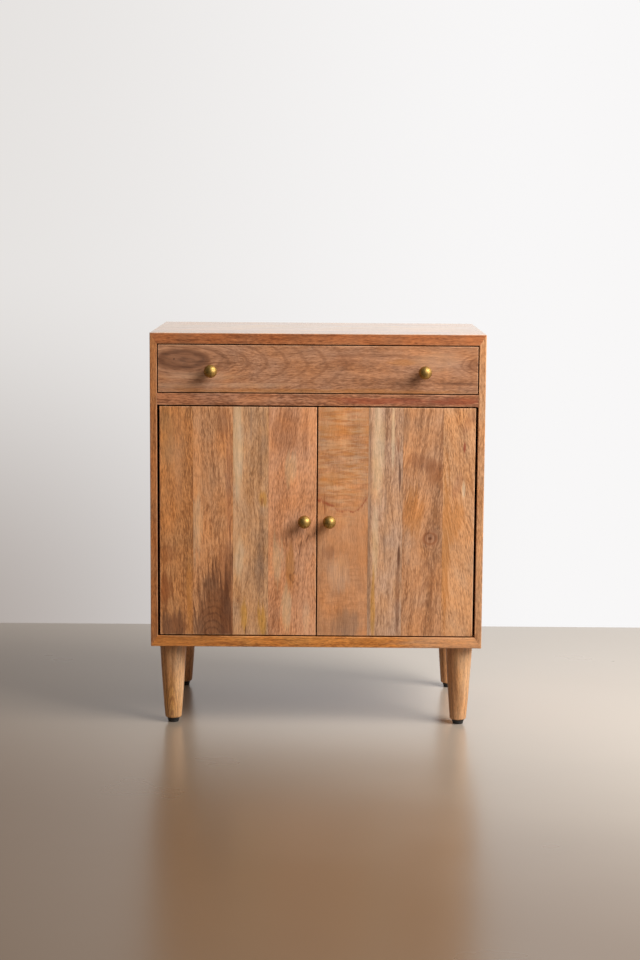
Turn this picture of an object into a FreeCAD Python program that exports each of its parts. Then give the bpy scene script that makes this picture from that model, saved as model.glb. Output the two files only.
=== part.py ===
import FreeCAD, Part
import math
import os

# A small wooden cabinet: one full-width drawer over a pair of doors, on four turned legs.
# Lengths are in millimetres. X runs to the right, Y to the back and Z up. The origin lies on
# the floor, under the middle of the whole footprint with the knobs counted in.

# Overall size
WIDTH = 762.0
DEPTH = 457.0
HEIGHT = 912.0

# Carcass boards, mitred at the four long corners
TOP_THICKNESS = 25.0
BOTTOM_THICKNESS = 25.0
SIDE_THICKNESS = 16.0
CARCASS_EDGE_ROUND = 1.5
SPLINE_WIDTH = 10.0
SPLINE_THICKNESS = 4.0
SPLINE_STOP = 30.0
TOP_STAVE_SHARES = (0.22, 0.27, 0.24, 0.27)

# Rail and dust board between the drawer and the doors
RAIL_HEIGHT = 27.0
RAIL_DEPTH = 45.0
RAIL_EDGE_ROUND = 1.5
TENON_LENGTH = 8.0
TENON_SHOULDER = 6.0
TENON_SETBACK = 10.0
DUST_BOARD_THICKNESS = 12.0
DUST_BOARD_HOUSING = 6.0
DUST_BOARD_TONGUE = 8.0

# Back panel in its rebate
BACK_THICKNESS = 5.0
BACK_INSET = 3.0
REBATE_WIDTH = 8.0
BACK_CLEARANCE = 0.25
BACK_SCREW_LENGTH = 16.0
BACK_SCREW_SHARES = (-0.4, 0.0, 0.4)

# Shelf and its pins
SHELF_THICKNESS = 18.0
SHELF_RISE = 255.0
SHELF_FRONT_GAP = 16.0
SHELF_BACK_GAP = 2.0
SHELF_SIDE_GAP = 1.0
SHELF_EDGE_ROUND = 1.5
PIN_RADIUS = 2.5
PIN_REACH = 9.0
PIN_HOLE_DEPTH = 10.0
PIN_COLLAR_RADIUS = 4.0
PIN_COLLAR_THICKNESS = 0.8
PIN_INSET = 45.0
PIN_ROW_PITCH = 64.0

# Reveals and the set-back of the drawer front and doors behind the carcass edge
FRONT_SETBACK = 0.8
DRAWER_REVEAL = 2.3
DOOR_GAP = 3.0
HINGE_GAP = 5.5
CENTRE_GAP = 3.0

# Drawer front and drawer box
DRAWER_OPENING_HEIGHT = 112.0
DRAWER_FRONT_THICKNESS = 20.0
DRAWER_EDGE_ROUND = 1.2
BOX_LENGTH = 400.0
BOX_HEIGHT = 84.0
BOX_LIFT = 12.0
BOX_BOARD_THICKNESS = 12.0
BOX_TONGUE_LENGTH = 5.0
BOX_TONGUE_THICKNESS = 6.0
BOX_BACK_SETBACK = 6.0
BOX_BOTTOM_THICKNESS = 5.0
BOX_BOTTOM_RISE = 10.0
BOX_BOTTOM_GROOVE = 5.0
DRAWER_FRONT_SCREW_LENGTH = 26.0
DRAWER_FRONT_SCREW_SHARES = (-0.42, -0.14, 0.14, 0.42)

# Telescopic runners: a fixed channel, a middle channel and the drawer's channel, with balls between
RUNNER_LENGTH = 400.0
RUNNER_THICKNESS = 12.7
RUNNER_HEIGHT = 45.0
RUNNER_SHEET = 1.2
RUNNER_FRONT_GAP = 3.0
RUNNER_LIP_GAP = 1.5
MIDDLE_WEB_GAP = 2.8
DRAWER_LIP_GAP = 2.0
BALL_RADIUS = 1.6
CAGE_LENGTH = 120.0
CAGE_WIDTH = 5.0
CAGE_SHEET = 0.8
BALL_PITCH = 22.0
BALL_COUNT = 5
RUNNER_SCREW_LENGTH = 10.5
RUNNER_SCREW_SHARES = (-0.42, 0.0, 0.42)

# Doors, each glued up from four upright staves, widths counted from the hinge edge
DOOR_THICKNESS = 20.0
DOOR_EDGE_ROUND = 1.2
LEFT_DOOR_STAVE_SHARES = (0.214, 0.254, 0.226, 0.306)
RIGHT_DOOR_STAVE_SHARES = (0.203, 0.256, 0.219, 0.322)

# Pivot hinges in the top and bottom edges of the doors
PIVOT_INSET = 12.0
PIVOT_RADIUS = 4.0
PIVOT_DEPTH = 25.0
PIVOT_REACH = 12.0
COLLAR_RADIUS = 7.0
BUSH_RADIUS = 6.0
BUSH_LENGTH = 14.0
BUSH_FLANGE_RADIUS = 8.5
BUSH_FLANGE_THICKNESS = 1.4
THRUST_CLEARANCE = 0.25

# Magnetic catches under the rail and the strike plates they hold
CATCH_OFFSET = 62.0
CATCH_LENGTH = 46.0
CATCH_CORE_LENGTH = 28.0
CATCH_DEPTH = 16.0
CATCH_HEIGHT = 15.0
CATCH_EAR_THICKNESS = 4.0
CATCH_GAP = 0.3
CATCH_EAR_SHARE = 0.8
MAGNET_LENGTH = 22.0
MAGNET_DEPTH = 10.0
MAGNET_HEIGHT = 6.0
CATCH_SCREW_LENGTH = 14.0
STRIKE_LENGTH = 38.0
STRIKE_HEIGHT = 10.0
STRIKE_THICKNESS = 1.2
STRIKE_SCREW_LENGTH = 12.0
STRIKE_SCREW_SHARE = 0.34

# Ball knobs
KNOB_RADIUS = 15.0
KNOB_NECK_RADIUS = 5.5
KNOB_NECK_LENGTH = 3.0
KNOB_ROSE_RADIUS = 7.5
KNOB_ROSE_THICKNESS = 2.0
KNOB_THREAD_DEPTH = 9.0
DRAWER_KNOB_SHARE = 0.334
DOOR_KNOB_INSET = 27.0
DRAWER_KNOB_DROP = 4.5
DOOR_KNOB_RISE = 3.0

# Turned legs and what bolts them on
LEG_LENGTH = 178.0
LEG_TOP_RADIUS = 31.0
LEG_BOTTOM_RADIUS = 19.0
LEG_BOTTOM_ROUND = 4.0
LEG_INSET = 48.0
HANGER_RADIUS = 4.0
HANGER_IN_LEG = 35.0
HANGER_IN_PANEL = 18.0
PANEL_NUT_RADIUS = 6.5
PANEL_NUT_LENGTH = 19.0

# Levelling feet and the threaded sleeves they screw into
FOOT_HEIGHT = 11.0
FOOT_TOP_RADIUS = 14.5
FOOT_BASE_RADIUS = 12.2
FOOT_EDGE_ROUND = 1.2
FOOT_SEAT_GAP = 0.3
STUD_RADIUS = 4.0
STUD_IN_PAD = 7.0
STUD_IN_LEG = 30.0
STUD_END_ROOM = 4.0
SLEEVE_RADIUS = 6.0
SLEEVE_LENGTH = 20.0

# Screws, in two sizes
SMALL_SCREW_RADIUS = 1.5
SMALL_HEAD_RADIUS = 3.0
SMALL_HEAD_HEIGHT = 1.8
LARGE_SCREW_RADIUS = 2.0
LARGE_HEAD_RADIUS = 4.0
LARGE_HEAD_HEIGHT = 2.4

# Clearances, the overrun of a cut and how near two places are the same
SCREW_CLEARANCE = 0.1
SEAT_CLEARANCE = 0.05
RUNNING_CLEARANCE = 0.05
OVERRUN = 5.0
MITRE_OVERRUN_SHARE = 0.5
SAME_PLACE = 0.001

# Places that follow from the sizes above
KNOB_CENTRE = (KNOB_ROSE_THICKNESS + KNOB_NECK_LENGTH
               + math.sqrt(KNOB_RADIUS ** 2 - KNOB_NECK_RADIUS ** 2))
KNOB_PROJECTION = KNOB_CENTRE + KNOB_RADIUS
KNOB_PROUD = KNOB_PROJECTION - FRONT_SETBACK
FRONT_Y = (KNOB_PROUD - DEPTH) / 2
BACK_Y = FRONT_Y + DEPTH
FACE_Y = FRONT_Y + FRONT_SETBACK
BACK_FACE_Y = BACK_Y - BACK_INSET - BACK_THICKNESS

CARCASS_BASE = FOOT_HEIGHT + LEG_LENGTH
FLOOR_TOP = CARCASS_BASE + BOTTOM_THICKNESS
TOP_UNDERSIDE = HEIGHT - TOP_THICKNESS
RAIL_TOP = TOP_UNDERSIDE - DRAWER_OPENING_HEIGHT
RAIL_BASE = RAIL_TOP - RAIL_HEIGHT
RAIL_MIDDLE = (RAIL_TOP + RAIL_BASE) / 2
INNER_HALF = WIDTH / 2 - SIDE_THICKNESS

DRAWER_HALF = INNER_HALF - DRAWER_REVEAL
DRAWER_BASE = RAIL_TOP + DRAWER_REVEAL
DRAWER_TOP = TOP_UNDERSIDE - DRAWER_REVEAL
DRAWER_MIDDLE = (DRAWER_BASE + DRAWER_TOP) / 2
BOX_HALF = INNER_HALF - RUNNER_THICKNESS
BOX_INNER_HALF = BOX_HALF - BOX_BOARD_THICKNESS
BOX_FRONT_Y = FACE_Y + DRAWER_FRONT_THICKNESS
BOX_BACK_Y = BOX_FRONT_Y + BOX_LENGTH
BOX_BASE = RAIL_TOP + BOX_LIFT
BOX_TOP = BOX_BASE + BOX_HEIGHT
BOX_MIDDLE = (BOX_BASE + BOX_TOP) / 2
SUB_FRONT_BACK_Y = BOX_FRONT_Y + BOX_BOARD_THICKNESS
BOX_BACK_BOARD_Y = BOX_BACK_Y - BOX_BACK_SETBACK - BOX_BOARD_THICKNESS

RUNNER_FRONT_Y = BOX_FRONT_Y + RUNNER_FRONT_GAP
RUNNER_MIDDLE_Y = RUNNER_FRONT_Y + RUNNER_LENGTH / 2
BALL_TRACK = 2 * (BALL_RADIUS + RUNNING_CLEARANCE)
FIXED_HALF = RUNNER_HEIGHT / 2
MIDDLE_HALF = FIXED_HALF - RUNNER_SHEET - BALL_TRACK
INNER_CHANNEL_HALF = MIDDLE_HALF - RUNNER_SHEET - BALL_TRACK
LIP_EDGE = RUNNER_THICKNESS - RUNNER_LIP_GAP
MIDDLE_WEB = RUNNER_SHEET + MIDDLE_WEB_GAP
DRAWER_LIP_EDGE = MIDDLE_WEB + DRAWER_LIP_GAP
OUTER_BALL_PLACE = (MIDDLE_WEB + LIP_EDGE) / 2
INNER_BALL_PLACE = (DRAWER_LIP_EDGE + LIP_EDGE) / 2

DOOR_BASE = FLOOR_TOP + DOOR_GAP
DOOR_TOP = RAIL_BASE - DOOR_GAP
DOOR_MIDDLE = (DOOR_BASE + DOOR_TOP) / 2
DOOR_BACK_Y = FACE_Y + DOOR_THICKNESS
DOOR_HINGE_EDGE = INNER_HALF - HINGE_GAP
DOOR_MEETING_EDGE = CENTRE_GAP / 2
PIVOT_X = DOOR_HINGE_EDGE - PIVOT_INSET
PIVOT_Y = FACE_Y + DOOR_THICKNESS / 2
COLLAR_THICKNESS = DOOR_GAP - BUSH_FLANGE_THICKNESS - THRUST_CLEARANCE
DOOR_KNOB_X = DOOR_MEETING_EDGE + DOOR_KNOB_INSET
DOOR_KNOB_Z = DOOR_MIDDLE + DOOR_KNOB_RISE
DRAWER_KNOB_X = 2 * DRAWER_HALF * DRAWER_KNOB_SHARE
DRAWER_KNOB_Z = DRAWER_MIDDLE - DRAWER_KNOB_DROP
CATCH_FRONT_Y = DOOR_BACK_Y + STRIKE_THICKNESS + CATCH_GAP
STRIKE_MIDDLE = RAIL_BASE - (CATCH_HEIGHT + CATCH_EAR_THICKNESS) / 2

SHELF_FRONT_Y = DOOR_BACK_Y + SHELF_FRONT_GAP
SHELF_BACK_Y = BACK_FACE_Y - SHELF_BACK_GAP
PIN_HEIGHT = FLOOR_TOP + SHELF_RISE
SHELF_BASE = PIN_HEIGHT + PIN_RADIUS
PIN_PLACES_Y = (SHELF_FRONT_Y + PIN_INSET, SHELF_BACK_Y - PIN_INSET)

LEG_X = WIDTH / 2 - LEG_INSET
LEG_FRONT_Y = FRONT_Y + LEG_INSET
LEG_BACK_Y = BACK_Y - LEG_INSET

LEFT = -1
RIGHT = 1
SIDES = {"left": LEFT, "right": RIGHT}
LEG_PLACES = {
    "front_left": (-LEG_X, LEG_FRONT_Y),
    "front_right": (LEG_X, LEG_FRONT_Y),
    "rear_left": (-LEG_X, LEG_BACK_Y),
    "rear_right": (LEG_X, LEG_BACK_Y),
}
TO_BACK = FreeCAD.Vector(0, 1, 0)
TO_FRONT = FreeCAD.Vector(0, -1, 0)
UP = FreeCAD.Vector(0, 0, 1)


# Helpers

def box(x_ends, y_ends, z_ends):
    """A box between two ends along each axis, in either order."""
    lows = [min(ends) for ends in (x_ends, y_ends, z_ends)]
    sizes = [max(ends) - min(ends) for ends in (x_ends, y_ends, z_ends)]
    return Part.makeBox(*sizes, FreeCAD.Vector(*lows))


def cylinder(radius, length, start, direction=UP):
    """A round bar from a start point along a direction."""
    return Part.makeCylinder(radius, length, start, direction)


def prism(outline, y_start, length):
    """A solid pushed back along Y from an outline of (x, z) points."""
    points = [FreeCAD.Vector(x, y_start, z) for x, z in outline]
    face = Part.Face(Part.makePolygon(points + points[:1]))
    return face.extrude(TO_BACK * length)


def turned(outline, x, y, z_start):
    """A solid turned about an upright axis from (radius, height) points."""
    points = [FreeCAD.Vector(x + radius, y, z_start + height) for radius, height in outline]
    face = Part.Face(Part.makePolygon(points + points[:1]))
    return face.revolve(FreeCAD.Vector(x, y, z_start), UP)


def is_at(value, place):
    """Whether a coordinate lies at a place."""
    return abs(value - place) < SAME_PLACE


def eased(solid, radius, wanted):
    """The solid with a small round on each edge whose bounding box is wanted."""
    edges = [edge for edge in solid.Edges if wanted(edge.BoundBox)]
    return solid.makeFillet(radius, edges)


def on_front(y_place):
    """A test for edges that lie in the plane at a place along Y."""
    return lambda bounds: is_at(bounds.YMin, y_place) and is_at(bounds.YMax, y_place)


def rounded_box(x_ends, y_ends, z_ends, radius):
    """A box with every edge rounded."""
    solid = box(x_ends, y_ends, z_ends)
    return solid.makeFillet(radius, solid.Edges)


def staves(solid, axis, start, widths):
    """The solid sawn across an axis into boards of the given widths, the first one at start."""
    limits = [start]
    for width in widths:
        limits.append(limits[-1] + width)
    span = solid.BoundBox
    pieces = []
    for low, high in zip(limits, limits[1:]):
        ends = {
            "x": (span.XMin - OVERRUN, span.XMax + OVERRUN),
            "y": (span.YMin - OVERRUN, span.YMax + OVERRUN),
            "z": (span.ZMin - OVERRUN, span.ZMax + OVERRUN),
        }
        ends[axis] = (low, high)
        pieces += solid.common(box(ends["x"], ends["y"], ends["z"])).Solids
    return pieces


class Screw:
    """A pan-head screw, given by the point under its head and the way that it is driven."""

    def __init__(self, seat, direction, length, large=False):
        self.seat = seat
        self.direction = direction
        self.length = length
        self.radius = LARGE_SCREW_RADIUS if large else SMALL_SCREW_RADIUS
        self.head_radius = LARGE_HEAD_RADIUS if large else SMALL_HEAD_RADIUS
        self.head_height = LARGE_HEAD_HEIGHT if large else SMALL_HEAD_HEIGHT

    def solid(self):
        """The screw itself, shank and head in one."""
        shank = cylinder(self.radius, self.length, self.seat, self.direction)
        head = cylinder(self.head_radius, self.head_height, self.seat, self.direction * -1)
        return shank.fuse(head).removeSplitter()

    def hole(self):
        """The hole that the shank needs, open past the head's seat."""
        start = self.seat - self.direction * OVERRUN
        length = self.length + OVERRUN + SCREW_CLEARANCE
        return cylinder(self.radius + SCREW_CLEARANCE, length, start, self.direction)


# Screws by place, so that every board they pass is drilled from the same list

def back_screws():
    """Screws through the edge of the back panel into the rebate."""
    seat_y = BACK_Y - BACK_INSET
    ledge_x = INNER_HALF + REBATE_WIDTH / 2
    ledge_top = TOP_UNDERSIDE + REBATE_WIDTH / 2
    ledge_base = FLOOR_TOP - REBATE_WIDTH / 2
    middle = (ledge_top + ledge_base) / 2
    places = []
    for share in BACK_SCREW_SHARES:
        height = middle + share * (ledge_top - ledge_base)
        places += [(share * 2 * ledge_x, ledge_top), (share * 2 * ledge_x, ledge_base)]
        places += [(-ledge_x, height), (ledge_x, height)]
    return [Screw(FreeCAD.Vector(x, seat_y, z), TO_FRONT, BACK_SCREW_LENGTH) for x, z in places]


def runner_screws(side, web_face, inward):
    """Screws through one runner channel's web, driven to the drawer or to the cabinet side."""
    x = side * (INNER_HALF - web_face)
    direction = FreeCAD.Vector(-side if inward else side, 0, 0)
    screws = []
    for share in RUNNER_SCREW_SHARES:
        seat = FreeCAD.Vector(x, RUNNER_MIDDLE_Y + share * RUNNER_LENGTH, BOX_MIDDLE)
        screws.append(Screw(seat, direction, RUNNER_SCREW_LENGTH))
    return screws


def cabinet_runner_screws(side):
    """Screws of the fixed channel, in the cabinet side."""
    return runner_screws(side, RUNNER_SHEET, inward=False)


def drawer_runner_screws(side):
    """Screws of the drawer's channel, in the drawer side."""
    return runner_screws(side, RUNNER_THICKNESS - RUNNER_SHEET, inward=True)


def drawer_front_screws():
    """Screws from inside the drawer box into the show front."""
    screws = []
    for share in DRAWER_FRONT_SCREW_SHARES:
        seat = FreeCAD.Vector(share * 2 * DRAWER_HALF, SUB_FRONT_BACK_Y, BOX_MIDDLE)
        screws.append(Screw(seat, TO_FRONT, DRAWER_FRONT_SCREW_LENGTH, large=True))
    return screws


def drawer_knob_screw(side):
    """The bolt of one drawer knob, from inside the drawer box."""
    seat = FreeCAD.Vector(side * DRAWER_KNOB_X, SUB_FRONT_BACK_Y, DRAWER_KNOB_Z)
    length = SUB_FRONT_BACK_Y - FACE_Y + KNOB_THREAD_DEPTH
    return Screw(seat, TO_FRONT, length, large=True)


def door_knob_screw(side):
    """The bolt of one door knob, from the back of the door."""
    seat = FreeCAD.Vector(side * DOOR_KNOB_X, DOOR_BACK_Y, DOOR_KNOB_Z)
    return Screw(seat, TO_FRONT, DOOR_THICKNESS + KNOB_THREAD_DEPTH, large=True)


def catch_screws(side):
    """Screws up through a catch's ears into the rail."""
    screws = []
    for end in (LEFT, RIGHT):
        x = side * CATCH_OFFSET + end * CATCH_EAR_SHARE * CATCH_LENGTH / 2
        seat = FreeCAD.Vector(x, CATCH_FRONT_Y + CATCH_DEPTH / 2, RAIL_BASE - CATCH_EAR_THICKNESS)
        screws.append(Screw(seat, UP, CATCH_SCREW_LENGTH))
    return screws


def strike_screw_places(side):
    """Points on the face of a strike plate where its screws sit."""
    y = DOOR_BACK_Y + STRIKE_THICKNESS
    places = []
    for end in (LEFT, RIGHT):
        x = side * CATCH_OFFSET + end * STRIKE_SCREW_SHARE * STRIKE_LENGTH
        places.append(FreeCAD.Vector(x, y, STRIKE_MIDDLE))
    return places


def countersunk_screw(face_point, spare):
    """A flush screw driven to the front from a plate's face, or its hole with some spare."""
    head = Part.makeCone(SMALL_HEAD_RADIUS + spare, SMALL_SCREW_RADIUS + spare,
                         STRIKE_THICKNESS, face_point, TO_FRONT)
    shank = cylinder(SMALL_SCREW_RADIUS + spare, STRIKE_SCREW_LENGTH + spare, face_point, TO_FRONT)
    return head.fuse(shank).removeSplitter()


# Carcass

def mitre_spline(side, upper):
    """A loose tongue across one mitre, stopped short of both ends."""
    thickness = TOP_THICKNESS if upper else BOTTOM_THICKNESS
    level = 1 if upper else -1
    inner_z = TOP_UNDERSIDE if upper else FLOOR_TOP
    centre_x = side * (INNER_HALF + SIDE_THICKNESS / 2)
    centre_z = inner_z + level * thickness / 2
    slope = math.hypot(SIDE_THICKNESS, thickness)
    along = (side * SIDE_THICKNESS / slope, level * thickness / slope)
    across = (-along[1], along[0])
    outline = []
    for end, edge in ((-1, -1), (1, -1), (1, 1), (-1, 1)):
        x = centre_x + end * across[0] * SPLINE_WIDTH / 2 + edge * along[0] * SPLINE_THICKNESS / 2
        z = centre_z + end * across[1] * SPLINE_WIDTH / 2 + edge * along[1] * SPLINE_THICKNESS / 2
        outline.append((x, z))
    return prism(outline, FRONT_Y + SPLINE_STOP, BACK_FACE_Y - FRONT_Y - 2 * SPLINE_STOP)


def mitre_splines():
    """The four loose tongues of the carcass."""
    return [mitre_spline(side, upper) for side in (LEFT, RIGHT) for upper in (True, False)]


def carcass_ring():
    """The whole carcass in one, outer edges rounded, open through from front to back."""
    outside = rounded_box((-WIDTH / 2, WIDTH / 2), (FRONT_Y, BACK_Y), (CARCASS_BASE, HEIGHT),
                          CARCASS_EDGE_ROUND)
    inside = box((-INNER_HALF, INNER_HALF), (FRONT_Y - OVERRUN, BACK_Y + OVERRUN),
                 (FLOOR_TOP, TOP_UNDERSIDE))
    rebate = box((-INNER_HALF - REBATE_WIDTH, INNER_HALF + REBATE_WIDTH),
                 (BACK_FACE_Y, BACK_Y + OVERRUN),
                 (FLOOR_TOP - REBATE_WIDTH, TOP_UNDERSIDE + REBATE_WIDTH))
    return outside.cut([inside, rebate])


def mitre_corners(side):
    """The mitre's inner and far outer points at the top and at the bottom of one side."""
    spare_x = SIDE_THICKNESS * MITRE_OVERRUN_SHARE
    outer_x = side * (WIDTH / 2 + spare_x)
    return {
        "top_in": (side * INNER_HALF, TOP_UNDERSIDE),
        "top_out": (outer_x, HEIGHT + TOP_THICKNESS * MITRE_OVERRUN_SHARE),
        "base_in": (side * INNER_HALF, FLOOR_TOP),
        "base_out": (outer_x, CARCASS_BASE - BOTTOM_THICKNESS * MITRE_OVERRUN_SHARE),
    }


def carcass_board(outline):
    """The part of the carcass inside an outline, with its inner front edge eased."""
    board = carcass_ring().common(prism(outline, FRONT_Y - OVERRUN, DEPTH + 2 * OVERRUN))

    def inner_front(bounds):
        """Whether an edge is the straight one between the front and the cabinet's inside."""
        in_front = is_at(bounds.YMin, FRONT_Y) and is_at(bounds.YMax, FRONT_Y)
        upright = is_at(bounds.XMin, bounds.XMax) and is_at(abs(bounds.XMin), INNER_HALF)
        level = is_at(bounds.ZMin, bounds.ZMax) and (
            is_at(bounds.ZMin, FLOOR_TOP) or is_at(bounds.ZMin, TOP_UNDERSIDE))
        return in_front and (upright or level)

    return eased(board.Solids[0], CARCASS_EDGE_ROUND, inner_front)


def top_panel():
    """The top, mitred at both ends and glued up from long boards."""
    left, right = mitre_corners(LEFT), mitre_corners(RIGHT)
    board = carcass_board([left["top_out"], right["top_out"], right["top_in"], left["top_in"]])
    board = board.cut(mitre_splines() + [screw.hole() for screw in back_screws()])
    return staves(board, "y", FRONT_Y, [share * DEPTH for share in TOP_STAVE_SHARES])


def bottom_panel():
    """The bottom, mitred at both ends, with seats for the legs and the lower door pivots."""
    left, right = mitre_corners(LEFT), mitre_corners(RIGHT)
    board = carcass_board([left["base_out"], right["base_out"], right["base_in"], left["base_in"]])
    cuts = mitre_splines() + [screw.hole() for screw in back_screws()]
    cuts += [bush_seat(side, upper=False) for side in (LEFT, RIGHT)]
    for x, y in LEG_PLACES.values():
        start = FreeCAD.Vector(x, y, CARCASS_BASE - OVERRUN)
        cuts.append(cylinder(PANEL_NUT_RADIUS + SEAT_CLEARANCE, PANEL_NUT_LENGTH + OVERRUN, start))
    return board.cut(cuts)


def side_panel(side):
    """One side, mitred top and bottom, housed for the rail and dust board, drilled for pins."""
    corners = mitre_corners(side)
    board = carcass_board([corners["top_out"], corners["top_in"],
                           corners["base_in"], corners["base_out"]])
    cuts = mitre_splines() + [screw.hole() for screw in back_screws()]
    cuts += [rail_blank(), dust_board()]
    cuts += [screw.hole() for screw in cabinet_runner_screws(side)]
    for y in PIN_PLACES_Y:
        for row in (-1, 0, 1):
            start = FreeCAD.Vector(side * (INNER_HALF - OVERRUN), y, PIN_HEIGHT + row * PIN_ROW_PITCH)
            cuts.append(cylinder(PIN_RADIUS + SEAT_CLEARANCE, PIN_HOLE_DEPTH + OVERRUN, start,
                                 FreeCAD.Vector(side, 0, 0)))
    return board.cut(cuts)


def rail_blank():
    """The rail with its end tenons, before it is grooved and drilled."""
    body = box((-INNER_HALF, INNER_HALF), (FRONT_Y, FRONT_Y + RAIL_DEPTH), (RAIL_BASE, RAIL_TOP))

    def long_front(bounds):
        """Whether an edge is one of the two long front ones."""
        return on_front(FRONT_Y)(bounds) and is_at(bounds.ZMin, bounds.ZMax)

    body = eased(body, RAIL_EDGE_ROUND, long_front)
    tenons = box((-INNER_HALF - TENON_LENGTH, INNER_HALF + TENON_LENGTH),
                 (FRONT_Y + TENON_SETBACK, FRONT_Y + RAIL_DEPTH - TENON_SETBACK),
                 (RAIL_BASE + TENON_SHOULDER, RAIL_TOP - TENON_SHOULDER))
    return body.fuse(tenons).removeSplitter()


def divider_rail():
    """The rail between drawer and doors, grooved for the dust board and drilled from below."""
    cuts = [dust_board()]
    for side in (LEFT, RIGHT):
        cuts.append(bush_seat(side, upper=True))
        cuts += [screw.hole() for screw in catch_screws(side)]
    return rail_blank().cut(cuts)


def dust_board():
    """The thin board behind the rail, held in a groove and in two housings."""
    half = INNER_HALF + DUST_BOARD_HOUSING
    front = FRONT_Y + RAIL_DEPTH - DUST_BOARD_TONGUE
    return box((-half, half), (front, BACK_FACE_Y),
               (RAIL_MIDDLE - DUST_BOARD_THICKNESS / 2, RAIL_MIDDLE + DUST_BOARD_THICKNESS / 2))


def back_panel():
    """The thin back, loose in its rebate and held by screws."""
    half = INNER_HALF + REBATE_WIDTH - BACK_CLEARANCE
    base = FLOOR_TOP - REBATE_WIDTH + BACK_CLEARANCE
    top = TOP_UNDERSIDE + REBATE_WIDTH - BACK_CLEARANCE
    panel = box((-half, half), (BACK_FACE_Y, BACK_FACE_Y + BACK_THICKNESS), (base, top))
    return panel.cut([screw.hole() for screw in back_screws()])


def shelf():
    """The loose shelf."""
    half = INNER_HALF - SHELF_SIDE_GAP
    board = box((-half, half), (SHELF_FRONT_Y, SHELF_BACK_Y), (SHELF_BASE, SHELF_BASE + SHELF_THICKNESS))
    return eased(board, SHELF_EDGE_ROUND, on_front(SHELF_FRONT_Y))


def shelf_pin(side, y):
    """A pin in the side panel, with a thin collar against its face."""
    inside = PIN_HOLE_DEPTH - SEAT_CLEARANCE
    start = FreeCAD.Vector(side * (INNER_HALF + inside), y, PIN_HEIGHT)
    inward = FreeCAD.Vector(-side, 0, 0)
    shank = cylinder(PIN_RADIUS, inside + PIN_REACH, start, inward)
    collar_start = FreeCAD.Vector(side * INNER_HALF, y, PIN_HEIGHT)
    collar = cylinder(PIN_COLLAR_RADIUS, PIN_COLLAR_THICKNESS, collar_start, inward)
    return shank.fuse(collar).removeSplitter()


# Legs and levelling feet

def leg(x, y):
    """A tapered leg, bored on top for the hanger bolt and below for the foot."""
    outline = [(0, 0), (LEG_BOTTOM_RADIUS, 0), (LEG_TOP_RADIUS, LEG_LENGTH), (0, LEG_LENGTH)]
    solid = turned(outline, x, y, FOOT_HEIGHT)
    solid = eased(solid, LEG_BOTTOM_ROUND,
                  lambda bounds: is_at(bounds.ZMin, FOOT_HEIGHT) and is_at(bounds.ZMax, FOOT_HEIGHT))
    bolt_start = FreeCAD.Vector(x, y, CARCASS_BASE - HANGER_IN_LEG - SEAT_CLEARANCE)
    below = FreeCAD.Vector(x, y, FOOT_HEIGHT - OVERRUN)
    return solid.cut([
        cylinder(HANGER_RADIUS + SEAT_CLEARANCE, HANGER_IN_LEG + OVERRUN, bolt_start),
        cylinder(SLEEVE_RADIUS + SEAT_CLEARANCE, SLEEVE_LENGTH + OVERRUN, below),
        cylinder(STUD_RADIUS + SEAT_CLEARANCE, STUD_IN_LEG + STUD_END_ROOM + OVERRUN, below),
    ])


def hanger_bolt(x, y):
    """The bolt that holds a leg to the bottom panel."""
    start = FreeCAD.Vector(x, y, CARCASS_BASE - HANGER_IN_LEG)
    return cylinder(HANGER_RADIUS, HANGER_IN_LEG + HANGER_IN_PANEL, start)


def sleeve(x, y, z, outer, inner, length):
    """A plain threaded sleeve, open at both ends."""
    start = FreeCAD.Vector(x, y, z)
    below = FreeCAD.Vector(x, y, z - OVERRUN)
    return cylinder(outer, length, start).cut(cylinder(inner, length + 2 * OVERRUN, below))


def panel_nut(x, y):
    """The insert in the bottom panel that takes a hanger bolt."""
    return sleeve(x, y, CARCASS_BASE, PANEL_NUT_RADIUS, HANGER_RADIUS + SEAT_CLEARANCE, PANEL_NUT_LENGTH)


def foot_sleeve(x, y):
    """The insert in a leg that takes a foot's stud."""
    return sleeve(x, y, FOOT_HEIGHT, SLEEVE_RADIUS, STUD_RADIUS + RUNNING_CLEARANCE, SLEEVE_LENGTH)


def foot(x, y):
    """A levelling foot: a moulded pad on a steel stud."""
    height = FOOT_HEIGHT - FOOT_SEAT_GAP
    outline = [(0, 0), (FOOT_BASE_RADIUS, 0), (FOOT_TOP_RADIUS, height), (0, height)]
    pad = turned(outline, x, y, 0)
    pad = eased(pad, FOOT_EDGE_ROUND,
                lambda bounds: is_at(bounds.ZMin, bounds.ZMax) and bounds.XLength > FOOT_BASE_RADIUS)
    stud_start = FreeCAD.Vector(x, y, height - STUD_IN_PAD)
    stud_length = STUD_IN_PAD + FOOT_SEAT_GAP + STUD_IN_LEG
    seat = cylinder(STUD_RADIUS + SEAT_CLEARANCE, STUD_IN_PAD + OVERRUN, stud_start)
    return [pad.cut(seat), cylinder(STUD_RADIUS, stud_length, stud_start)]


# Drawer

def drawer_front():
    """The show front, bored for its knobs and for the screws from the box."""
    board = rounded_box((-DRAWER_HALF, DRAWER_HALF), (FACE_Y, BOX_FRONT_Y), (DRAWER_BASE, DRAWER_TOP),
                        DRAWER_EDGE_ROUND)
    return board.cut(drawer_front_holes())


def drawer_front_holes():
    """Every hole through the show front and the box front behind it."""
    screws = drawer_front_screws() + [drawer_knob_screw(side) for side in (LEFT, RIGHT)]
    return [screw.hole() for screw in screws]


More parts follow.
